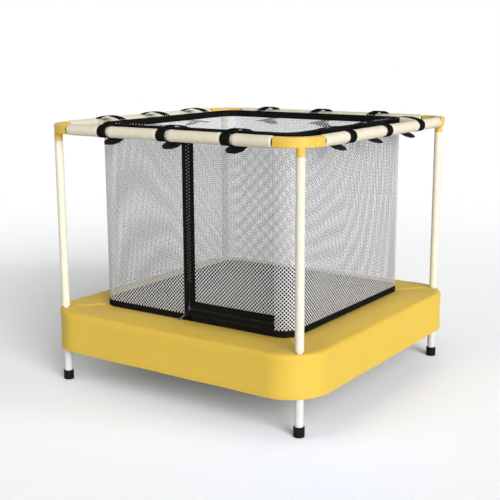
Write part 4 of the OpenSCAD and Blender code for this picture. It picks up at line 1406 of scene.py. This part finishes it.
@dataclass
class PaddedCover:
    """The yellow cover with its skirt, and the foam ring inside it."""

    seat: float = 0.440
    seat_r: float = 0.060
    edge: float = 0.5909
    edge_r: float = 0.1349
    soft: float = 0.022
    square: float = 0.78
    top: float = 0.303
    bottom: float = 0.142
    lip: float = 0.2885
    binding: float = 0.0110
    thick: float = 0.0012
    cover_hole: float = 0.0125
    foam_hole: float = 0.0196
    stitch_step: float = 0.0055
    side_steps: int = 64
    corner_steps: int = 40
    cloth_steps: int = 20
    most_top: float = 0.0042
    most_skirt: float = 0.0007
    crown: float = 0.0065
    crease: float = 0.0010
    fan: float = 0.0011
    dimple: float = 0.0042
    ripple: float = 0.0006
    sway: float = 0.0012
    waist: float = 0.0015
    sink: float = 0.001
    foam_sink: float = 0.0038

    def ring(self, half: float, radius: float) -> tuple[np.ndarray, np.ndarray]:
        """Returns a rounded square's points and outward directions, counter-clockwise.

        Args:
            half: Half of its width.
            radius: Its corners' radius.

        Returns:
            Points and directions, both by 2.
        """
        flat = half - radius
        run = np.linspace(-flat, flat, self.side_steps, endpoint=False)
        bend = np.linspace(0, QUARTER, self.corner_steps, endpoint=False)
        s, c = np.sin(bend), np.cos(bend)
        side = np.stack([run, np.full_like(run, -half)], -1)
        points = np.concatenate([side, np.stack([flat + radius * s, -flat - radius * c], -1)])
        out = np.concatenate([np.tile([0.0, -1.0], (len(run), 1)), np.stack([s, -c], -1)])
        turns = [quarter_turn(k)[:2, :2].T for k in range(4)]
        return tuple(np.concatenate([part @ turn for turn in turns]) for part in (points, out))

    def size(self, grow: float, inner: float = 0.0, outer: float = 0.0) -> tuple[float, float]:
        """Returns the half width and corner radius of a row of the cover or its foam.

        Args:
            grow: Share of the way from the net's seat to the outer edge.
            inner: What is added at the seat.
            outer: What is added at the edge.

        Returns:
            The half width and the corner radius.
        """
        pairs = ((self.seat + inner, self.edge + outer), (self.seat_r + inner, self.edge_r + outer))
        return tuple(a + grow * (b - a) for a, b in pairs)

    def profile(self) -> list[tuple[float, float, float, float]]:
        """Lists the rows of the cover as (growth from seat to edge, sideways, height, softness).

        Returns:
            The rows, from the lip inside to the folded hem.
        """
        top, low, soft = self.top, self.bottom, self.soft
        rows = [(0.0, 0.0, z, 0.0) for z in (self.lip - self.binding, self.lip, top - 0.004)]
        rows.append((0.0, 0.001, top - 0.001, 0.0))
        rows += [(s, 0.0, top, s) for s in (0.015, *np.linspace(0.03, 1.0, 22))]
        for a in np.radians(np.linspace(0, 90, 9)[1:]):
            out, up = math.sin(a) ** self.square, max(0.0, math.cos(a)) ** self.square
            rows.append((1.0, soft * out, top - soft * (1 - up), 1.0 + a / 4))
        rows += [(1.0, soft, z, 2.0) for z in np.linspace(top - soft, low + 0.002, 18)[1:]]
        hem = ((0.0006, 0.0), (0.002, 0.001), (0.0026, 0.016))
        return rows + [(1.0, soft - inwards, low + up, 2.0) for inwards, up in hem]

    def build(self) -> None:
        """Makes the cover and the foam."""
        rows, flat = [], []
        around = run_along(self.ring(self.edge, self.edge_r)[0])
        for grow, side, z, softness in self.profile():
            half, radius = self.size(grow, side, side)
            xy, out = self.ring(half, radius)
            rows.append(self.settled(level(xy, z), out, grow, softness))
            run = half if softness <= 1 else self.edge + 0.035 + self.top - z
            flat.append(level(around[:, None], run))
        shape = grid_shape(np.array(rows), np.array(flat), wrap=True)
        shape.faces = [f[::-1] for f in shape.faces]
        # The inner lip, from below the seat up to the net's hem, is dressed in the black webbing finish.
        bound = 4.5 * len(around)
        shape.marks = [int(i < bound) for i in range(len(shape.faces))]
        piece = make_piece("padded_cover", shape, [COVER_CLOTH, WEBBING])
        self.puff(piece)
        self.fold(piece)
        shell = piece.modifiers.new("cloth", "SOLIDIFY")
        shell.thickness = self.thick
        shell.offset = -1
        self.cut(piece, self.cover_hole)
        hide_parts("pad_cover")
        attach(piece, "root")
        self.hem_stitches()
        self.foam()

    def settled(self, xyz: np.ndarray, out: np.ndarray, grow: float, softness: float) -> np.ndarray:
        """Lets a row of the cover sink, crease and wrinkle as cloth over foam does.

        Args:
            xyz: The row's points, all at one height.
            out: Outward directions.
            grow: Share of the way from the net's seat to the outer edge.
            softness: 0 at the seat, 1 where the edge starts, 2 on the skirt.

        Returns:
            The row's settled points.
        """
        x, y, z = xyz[:, 0], xyz[:, 1], xyz[0, 2]
        small = np.minimum(np.abs(x), np.abs(y))
        low = 0.0 if z < self.bottom + 0.02 else (z - self.bottom) / (self.top - self.bottom)
        fade = max(0.0, (grow - 0.05) / 0.95) ** 1.5 if softness <= 1 else low**1.6
        on_top = 1.0 if softness <= 1.05 else max(0.0, 1 - (softness - 1) * 2.5)
        crown = (0.0005 + self.crown * self.away_from_corners(small)) * math.sin(math.pi * grow) * (softness <= 1)
        drop = self.sink * self.mid_side(small) * fade
        diagonal = np.abs(np.abs(x) - np.abs(y)) / math.sqrt(2)
        corner = smoothstep((small - 0.37) / 0.08)
        ends = math.sin(math.pi * min(1.0, grow * 1.05)) ** 0.5
        crease = self.crease * np.exp(-((diagonal / 0.0050) ** 2)) * corner * ends
        fan = self.fan * corner * np.cos(diagonal / 0.0105) * np.exp(-diagonal / 0.05) * (grow > 0.05)
        dimple = self.dimple * np.exp(-((self.to_post(xyz) / 0.017) ** 2))
        ripple = self.ripple * np.sin(x * 31 + y * 17 + 1.3) * np.sin(x * 13 - y * 37) * (grow > 0.05)
        hang = 0.0 if softness < 1.9 else 1 - low
        side = self.sway * np.sin((x - y) * 19 + 2 * np.sin(z * 20)) * (0.3 + 0.7 * hang) * (softness > 1.3)
        waist = self.waist * math.sin(math.pi * (1 - low)) * (softness > 1.9)
        result = xyz.copy()
        result[:, 2] += crown - drop + (crease + fan - dimple + ripple) * on_top
        result[:, :2] += out * (side - waist)[:, None]
        return result

    def away_from_corners(self, small: np.ndarray) -> np.ndarray:
        """Returns 1 along the sides and 0 at the corners, for the smaller of |x| and |y|."""
        return 1 - smoothstep((small - 0.28) / 0.18)

    def mid_side(self, small: np.ndarray) -> np.ndarray:
        """Returns 1 in the middle of each side, fading out over its length."""
        return 1 - smoothstep((small - 0.12) / 0.34)

    def to_post(self, points: np.ndarray) -> np.ndarray:
        """Returns the distances to the nearest post's axis."""
        return np.hypot(*(np.abs(points[:, :2]) - POST).T)

    def fold(self, piece: bpy.types.Object) -> None:
        """Raises a pressed crease from each corner of the net to its post.

        Args:
            piece: The cover.
        """
        at = points_of(piece.data)
        x, y = np.abs(at[:, :2]).T
        across, run = np.abs(x - y) / math.sqrt(2), (x + y) / 2
        ends = smoothstep((run - 0.430) / 0.012) * (1 - smoothstep((run - 0.522) / 0.014))
        ridge = 0.0016 * np.exp(-((across / 0.0028) ** 2)) - 0.0010 * np.exp(-(((across - 0.009) / 0.004) ** 2))
        at[:, 2] += np.where(at[:, 2] > self.top - 0.02, ridge * ends, 0)
        set_points(piece.data, at)

    def puff(self, piece: bpy.types.Object) -> None:
        """Swells the top over its foam with a short cloth simulation, scaled to a few millimetres.

        Args:
            piece: The cover, still a single skin.
        """
        before = points_of(piece.data)
        on_top = before[:, 2] > self.top - 0.025
        seated = np.abs(before[:, :2]).max(1) < self.seat + 0.008
        held = np.where(on_top & (seated | (self.to_post(before) < 0.016)), 1.0, 0.0)
        held = np.maximum(held, np.where(before[:, 2] < self.bottom + 0.03, 0.85, 0.0))
        for name, weights in (("held", held), ("air", np.where(on_top, 1.0, 0.12))):
            group = piece.vertex_groups.new(name=name)
            for i, weight in enumerate(weights.tolist()):
                group.add([i], weight, "REPLACE")
        cloth = piece.modifiers.new("cloth", "CLOTH")
        rules = cloth.settings
        rules.quality = 5
        rules.mass = 0.35
        rules.tension_stiffness = 25
        rules.compression_stiffness = 8
        rules.shear_stiffness = 10
        rules.bending_stiffness = 0.4
        rules.use_pressure = True
        rules.uniform_pressure_force = 4.0
        rules.vertex_group_mass = "held"
        rules.vertex_group_pressure = "air"
        rules.shrink_min = -0.012
        rules.effector_weights.gravity = 0
        cloth.collision_settings.use_collision = False
        cloth.point_cache.frame_start, cloth.point_cache.frame_end = 1, self.cloth_steps
        scene = bpy.context.scene
        for step in range(self.cloth_steps):
            scene.frame_set(step + 1)
        move = points_of(piece.evaluated_get(bpy.context.evaluated_depsgraph_get()).data) - before
        size = np.linalg.norm(move, axis=1)
        for part, most in ((on_top, self.most_top), (~on_top, self.most_skirt)):
            move[part] *= min(1.0, most / size[part].max())
        move *= (0.2 + 0.8 * self.away_from_corners(np.abs(before[:, :2]).min(1)))[:, None]
        kept = np.linalg.norm(move, axis=1).max()
        LOG.info("padded_cover: cloth moved %.1f mm at most, %.1f mm kept", size.max() / MM, kept / MM)
        piece.modifiers.remove(cloth)
        set_points(piece.data, before + move)
        scene.frame_set(1)

    def cut(self, piece: bpy.types.Object, radius: float) -> None:
        """Cuts the four post holes and bakes the modifiers.

        Args:
            piece: The cover or its foam.
            radius: The holes' radius.
        """
        tools = []
        for sx, sy in ((-1, -1), (-1, 1), (1, -1), (1, 1)):
            drill = tube_shape(np.array([[sx * POST, sy * POST, z] for z in (0.25, 0.34)]), radius, 40)
            tool = make_piece("post_cutter", drill, [COVER_CLOTH])
            hole = piece.modifiers.new("post hole", "BOOLEAN")
            hole.operation = "DIFFERENCE"
            hole.object = tool
            hole.solver = "EXACT"
            tools.append(tool)
        apply_modifiers(piece)
        for tool in tools:
            bpy.data.objects.remove(tool)
        smooth(piece.data, 50)

    def hem_stitches(self) -> None:
        """Makes the row of stitches above the skirt's lower edge."""
        xy, out = self.ring(self.edge + self.soft, self.edge_r + self.soft)
        line = self.settled(level(xy, self.bottom + 0.013), out, 1.0, 2.0)
        line, out = (np.concatenate([v, v[:1]]) for v in (line, out))
        run = run_along(line)
        count = int(run[-1] / self.stitch_step)
        at = np.arange(count) * run[-1] / count
        row = SKIRT_STITCH.row(sampled(at, run, line), unit(level(sampled(at, run, out), 0.0)))
        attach(make_piece("skirt_hem_stitches", row, [YELLOW_THREAD]), "root")

    def foam(self) -> None:
        """Makes the foam ring under the cover's top."""
        low, high = self.lip + 0.0005, self.lip + 0.0105
        section = [(0.0, low), (1.0, low), (1.0, (low + high) / 2), (0.985, high - 0.003)]
        section += [(0.5, high), (0.03, high - 0.001), (0.0, high - 0.004), (0.0, low)]
        rows = []
        for share, z in section:
            xy, _ = self.ring(*self.size(share, 0.003, -0.004))
            sink = self.foam_sink * self.mid_side(np.abs(xy).min(1)) * share**1.5 * (z > low + 0.001)
            rows.append(level(xy, z - sink))
        rows = np.array(rows)
        shape = grid_shape(rows, rows[..., :2], wrap=True)
        piece = make_piece("pad_foam_ring", shape, [GREY_FOAM])
        self.cut(piece, self.foam_hole)
        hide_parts("pad_foam")
        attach(piece, "root")


@dataclass
class JumpingMat:
    """The woven mat in four sectors, its edging, rings and springs."""

    half: float = 0.462
    radius: float = 0.060
    z: float = 0.272
    thick: float = 0.0015
    edging: float = 0.034
    skirt: float = 0.0013
    ring_in: float = 0.4683
    ring_out: float = 0.4843
    spring_start: float = 0.4914
    spring_end: float = 0.559
    hook: float = 0.5746
    stitch_step: float = 0.006
    seams: tuple[float, ...] = (0.006, 0.029)
    spring_places: tuple[float, ...] = tuple((i - 3.5) * 0.108 for i in range(8))
    calm: float = 0.12

    def build(self) -> None:
        """Makes the mat's pieces, side by side."""
        rings, springs = (joined([make(x) for x in self.spring_places]) for make in (self.ring, self.spring))
        parts = (
            ("mat_cloth", self.sector(), [MAT_CLOTH], "mat_fabric", "jumping_mat"),
            ("mat_edge", self.edge(), [WEBBING, BLACK_THREAD], "black_webbing", "mat_edging"),
            ("mat_ring_row", rings, [ZINC], "spring_steel", "mat_rings"),
            ("mat_spring_row", springs, [ZINC], "spring_steel", "mat_springs"),
        )
        for k, side in enumerate(SIDES):
            for name, shape, finishes, slot, node in parts:
                piece = make_piece(f"{name}_{side}", shape.turned(k), finishes)
                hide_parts(node)
                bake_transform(piece)

    def rim(self, half: float, radius: float, run: int = 30) -> np.ndarray:
        """Returns the front edge from one corner's diagonal to the other's.

        Args:
            half: Half of the mat's width.
            radius: Its corners' radius.
            run: Number of steps along the straight part.

        Returns:
            Points by 2.
        """
        flat = half - radius
        turn = np.linspace(0, math.pi / 4, 7)
        right = np.stack([flat + radius * np.sin(turn), -flat - radius * np.cos(turn)], -1)
        line = np.stack([np.linspace(-flat, flat, run + 1), np.full(run + 1, -half)], -1)[1:-1]
        return np.concatenate([right[::-1] * (-1, 1), line, right])

    def sector(self) -> Shape:
        """Makes the front quarter of the mat as a thin closed slab.

        Returns:
            The slab.
        """
        shares = np.linspace(0.0, 1.0, 25)
        shares[0] = 0.0005
        xy = shares[:, None, None] * self.rim(self.half, self.radius)
        loops = np.concatenate([level(xy, self.z + self.thick), level(xy, self.z - self.thick)[:, ::-1]], 1)
        return grid_shape(loops, loops[..., :2], wrap=True, caps=True)

    def edge(self) -> Shape:
        """Makes the front quarter of the folded edging with its loops and stitches.

        Returns:
            The edging on the front side.
        """
        t, skin, fold = self.thick + self.skirt, self.skirt, self.edging
        upper = [(-fold, t - 0.0005), (0.0006 - fold, t), (-0.017, t), (skin - 0.0006, t), (skin, t - 0.0008)]
        points, flat = [], []
        for grow, up in upper + [(grow, -up) for grow, up in upper[::-1]]:
            rim = self.rim(self.half + grow, self.radius + grow)
            points.append(level(rim, self.z + up))
            flat.append(level(run_along(rim)[:, None], grow + up))
        band = grid_shape(np.stack(points, 1), np.stack(flat, 1), wrap=True, caps=True)
        rows = []
        for inset in self.seams:
            line = self.rim(self.half - inset, self.radius - inset, run=60)
            run = run_along(line)
            xy = sampled(np.arange(0.003, run[-1] - 0.003, self.stitch_step), run, line)
            rows += [MAT_STITCH.row(level(xy, self.z + side * t), (0, 0, side)).marked(1) for side in (1, -1)]
        return joined([band, *map(self.loop_shape, self.spring_places), *rows])

    def loop_shape(self, x: float) -> Shape:
        """Makes one webbing loop that wraps a ring's inner bar.

        Args:
            x: Place along the side.

        Returns:
            The loop.
        """
        r, bore, wide = 0.0036, 0.0018, 0.0135
        start, reach = self.half + self.skirt - 0.001, self.ring_in
        section = [(start, r), *((reach + s, c) for c, s in arc(r, 0, math.pi, 11)), (start, -r)]
        section += [(start, -bore), *((reach + s, -c) for c, s in arc(bore, 0, math.pi, 9)), (start, bore)]
        across = np.linspace(-wide, wide, 7)
        rows = [[[x + w, -u, self.z + v] for u, v in section] for w in across]
        flat = [[[w, u + v] for u, v in section] for w in across]
        return grid_shape(np.array(rows), np.array(flat), wrap=True, caps=True)

    def ring(self, x: float) -> Shape:
        """Makes one rounded wire ring.

        Args:
            x: Place along the side.

        Returns:
            The ring.
        """
        soft = 0.0035
        w, a0, a1 = 0.0155 - soft, self.ring_in + soft, self.ring_out - soft
        path = []
        for quarter, (cx, cy) in enumerate(((w, a0), (w, a1), (-w, a1), (-w, a0))):
            start = (quarter - 1) * QUARTER
            path += [(x + cx + c, -(cy + s), self.z) for c, s in arc(soft, start, start + QUARTER, 6)]
        return tube_shape(np.array(path), 0.0015, 8, closed=True)

    def spring(self, x: float) -> Shape:
        """Makes one extension spring: a hook, close coils, a neck and its catch in the tube.

        Args:
            x: Place along the side.

        Returns:
            The spring.
        """
        wire, coil, eye, turns, per = 0.0012, 0.0053, 0.0031, 22, 10
        bend = arc(eye, math.radians(250), math.radians(20), 12)
        hook = [(x, -self.ring_out - c, self.z + s) for c, s in bend] + [(x, -self.ring_out - 0.0045, self.z)]
        t = np.linspace(0, 1, turns * per + 1)
        turn = 2 * math.pi * turns * t
        ease = coil * np.minimum(1.0, 0.15 + np.minimum(t, 1 - t) * 14)
        y = -self.spring_start - t * (self.spring_end - self.spring_start)
        coils = np.stack([x + ease * np.sin(turn), y, self.z + ease * np.cos(turn)], -1)
        neck = ((self.spring_end + 0.004, 0), (self.hook - 0.004, 0))
        catch = ((self.hook + 0.0008, 0.001), (self.hook + 0.0014, 0.005))
        tail = [(x, -reach, self.z - drop) for reach, drop in neck + catch]
        return tube_shape(np.concatenate([hook, coils, tail]), wire, 6)


@dataclass
class SteelFrame:
    """The steel base, legs, posts and small parts, whose solids are dressed as they are."""

    finishes: tuple[tuple[str, Finish], ...] = (
        ("frame_corner", WHITE_COAT),
        ("frame_side", WHITE_COAT),
        ("leg", WHITE_COAT),
        ("post_tube", WHITE_COAT),
        ("rail_tubes", WHITE_COAT),
        ("frame_screws", ZINC),
        ("feet", FOOT_RUBBER),
        ("top_connector", YELLOW_PLASTIC),
        ("rail_collars", BLACK_PLASTIC),
    )

    def build(self) -> None:
        """Gives each solid its finish."""
        for name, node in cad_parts.items():
            for start, finish in self.finishes:
                if name.startswith(start):
                    node.data.materials.clear()
                    node.data.materials.append(finish.material())
                    LOG.info("%s: dressed as %s", name, finish.name)


class Lamp(Enum):
    """The studio's soft boxes, far off: azimuth, elevation and strength."""

    LOW_KEY = (-30.0, 12.0, 2.31)
    HIGH_KEY = (-30.0, 30.0, 0.89)
    SIDE_FILL = (-140.0, 30.0, 0.19)


@dataclass
class Studio:
    """Floor, backdrop, lamps and camera."""

    lens: float = 70.654
    azimuth: float = 34.3719
    elevation: float = 11.8191
    roll: float = -0.2457
    position: tuple[float, float, float] = (2.21799, -3.28419, 1.33061)
    floor_half: float = 30.0
    # The paper's seen tone inside its painted shadow, and past it.
    paper_seen: float = 1.55
    paper_past_painted_shadow: float = 1.76
    paper_bounce: float = 0.8
    paper_glow: float = 0.04
    cool_start: float = 0.55
    cool_peak: float = 0.74
    cool_end: float = 1.28
    cool_least: float = 0.042
    cool_most: float = 0.118
    sky: float = 0.171
    box_angle: float = 0.7

    def build(self) -> None:
        """Sets up the stage."""
        self.camera()
        self.floor()
        self.world()
        for lamp in Lamp:
            self.lamp(lamp)
        bpy.context.scene.view_settings.view_transform = "Standard"

    def facing(self, azimuth: float, elevation: float) -> Vector:
        """Returns the direction with an azimuth from +X and an elevation, in degrees."""
        a, e = math.radians(azimuth), math.radians(elevation)
        return Vector((math.cos(a) * math.cos(e), math.sin(a) * math.cos(e), math.sin(e)))

    def placed_object(self, name: str, data: bpy.types.ID) -> bpy.types.Object:
        """Makes an object from its data and puts it in the scene.

        Args:
            name: The object's name.
            data: Its data.

        Returns:
            The object.
        """
        obj = bpy.data.objects.new(name, data)
        bpy.context.scene.collection.objects.link(obj)
        return obj

    def camera(self) -> None:
        """Makes the camera at its measured place."""
        back = self.facing(self.azimuth - 90, self.elevation)
        right = (-back).cross(Vector((0, 0, 1))).normalized()
        up = right.cross(-back)
        r = math.radians(self.roll)
        right, up = right * math.cos(r) + up * math.sin(r), -right * math.sin(r) + up * math.cos(r)
        data = bpy.data.cameras.new("camera")
        data.lens = self.lens
        data.sensor_width = 36.0
        obj = self.placed_object("camera", data)
        obj.matrix_world = Matrix.Translation(self.position) @ Matrix((right, up, back)).transposed().to_4x4()
        bpy.context.scene.camera = obj

    def cleared(self, block: bpy.types.Material | bpy.types.World) -> Tree:
        """Returns the empty node tree of a material or world.

        Args:
            block: The material or world.

        Returns:
            Its node tree.
        """
        block.use_nodes = True
        block.node_tree.nodes.clear()
        return block.node_tree

    def seen(self, tree: Tree) -> Socket:
        """Returns 1 where a camera or glossy ray looks, and 0 for light that bounces."""
        path = add_node(tree, "LightPath").outputs
        return calc(tree, "MAXIMUM", path["Is Camera Ray"], path["Is Glossy Ray"])

    def length(self, tree: Tree, vector: Socket) -> Socket:
        """Returns a vector's length."""
        return add_node(tree, "VectorMath", {"operation": "LENGTH"}, {0: vector}).outputs["Value"]

    def floor(self) -> None:
        """Makes the pale floor, which keeps the shadow and adds painted shadow: its paper is darker under and to the
        left of the trampoline, where the shadow falls, and brighter further out.
        """
        size = self.floor_half
        mesh = bpy.data.meshes.new("floor")
        mesh.from_pydata([(-size, -size, 0), (size, -size, 0), (-size, size, 0), (size, size, 0)], [], [(0, 1, 3, 2)])
        obj = self.placed_object("floor", mesh)
        made = bpy.data.materials.new("seamless white paper")
        tree = self.cleared(made)
        seen, where = self.seen(tree), placed(tree)
        # Painted shadow: the paper's seen tone is lowest round (-1, 0.1), under and to the left of the trampoline
        # where its shadow falls, and rises further out.
        from_painted_shadow = add_node(tree, "Mapping", {}, {0: where, 1: (0.6, -0.1, 0), 3: (0.6, 1, 1)}).outputs[0]
        painted_shadow_tone = ranged(tree, self.length(tree, from_painted_shadow), 0.92, 1.25, self.paper_seen, self.paper_past_painted_shadow, eased=True)
        tone = ranged(tree, seen, bottom=self.paper_bounce, top=painted_shadow_tone)
        inputs = {0: self.counter_tint(tree, where), "Scale": tone}
        tint = add_node(tree, "VectorMath", {"operation": "SCALE"}, inputs).outputs[0]
        paper = add_node(tree, "BsdfDiffuse", {}, {"Color": tint}).outputs[0]
        far = ranged(tree, self.length(tree, where), 1.1, 5.0, self.paper_glow, 1.0, eased=True)
        glow = add_node(tree, "Emission", {}, {"Strength": 1.0}).outputs[0]
        mix = add_node(tree, "MixShader", {}, {0: calc(tree, "MULTIPLY", seen, far), 1: paper, 2: glow})
        add_node(tree, "OutputMaterial", {}, {0: mix.outputs[0]})
        mesh.materials.append(made)

    def counter_tint(self, tree: Tree, where: Socket) -> Socket:
        """Cools the paper beside the skirt, where the yellow cover throws warm light on it.

        Args:
            tree: The paper's node tree.
            where: Socket with the place on the floor.

        Returns:
            Socket with the paper's tint.
        """
        kind = "VectorMath"
        split = add_node(tree, "SeparateXYZ", {}, {0: where}).outputs
        out = calc(tree, "MAXIMUM", calc(tree, "ABSOLUTE", split[0]), calc(tree, "ABSOLUTE", split[1]))
        rise = ranged(tree, out, self.cool_start, self.cool_peak, 0.35, 1.0, eased=True)
        fall = ranged(tree, out, self.cool_peak, self.cool_end, 1.0, 0.0)
        facing = add_node(tree, kind, {"operation": "DOT_PRODUCT"}, {0: where, 1: (1.0, -0.8, 0.0)}).outputs["Value"]
        lit = ranged(tree, facing, 0.1, 1.3, self.cool_least, self.cool_most)
        share = calc(tree, "MULTIPLY", calc(tree, "MULTIPLY", rise, fall), lit)
        cool = add_node(tree, kind, {"operation": "SCALE"}, {0: (-0.45, 0.0, 1.0), "Scale": share}).outputs[0]
        return add_node(tree, kind, {"operation": "ADD"}, {0: cool, 1: (0.994, 1.0, 1.012)}).outputs[0]

    def world(self) -> None:
        """Makes the white surround: white to the eye, softer as a lamp."""
        world = bpy.data.worlds.new("studio")
        tree = self.cleared(world)
        power = ranged(tree, self.seen(tree), bottom=self.sky)
        sky = add_node(tree, "Background", {}, {"Color": (1, 1, 1, 1), "Strength": power})
        add_node(tree, "OutputWorld", {}, {0: sky.outputs[0]})
        bpy.context.scene.world = world

    def lamp(self, lamp: Lamp) -> None:
        """Makes one soft lamp that faces the trampoline.

        Args:
            lamp: The lamp.
        """
        azimuth, elevation, power = lamp.value
        data = bpy.data.lights.new(lamp.name.lower(), "SUN")
        data.energy = power
        data.angle = self.box_angle
        obj = self.placed_object(lamp.name.lower(), data)
        way = self.facing(azimuth, elevation)
        obj.location = Vector((0, 0, 0.5)) + way * 5.0
        obj.rotation_euler = way.to_track_quat("Z", "Y").to_euler()


def main() -> None:
    """Builds the stage and then each sub-assembly."""
    Studio().build()
    SteelFrame().build()
    loop = NetLoop()
    lattice = Lattice(loop)
    walls = NetWalls(loop, lattice)
    walls.build()
    ZipDoor(loop, lattice, walls).build()
    RailStraps().build()
    FoamSleeves().build()
    PaddedCover().build()
    JumpingMat().build()


if __name__ == "__main__":
    logging.basicConfig(level=logging.INFO, format="%(message)s")
    main()
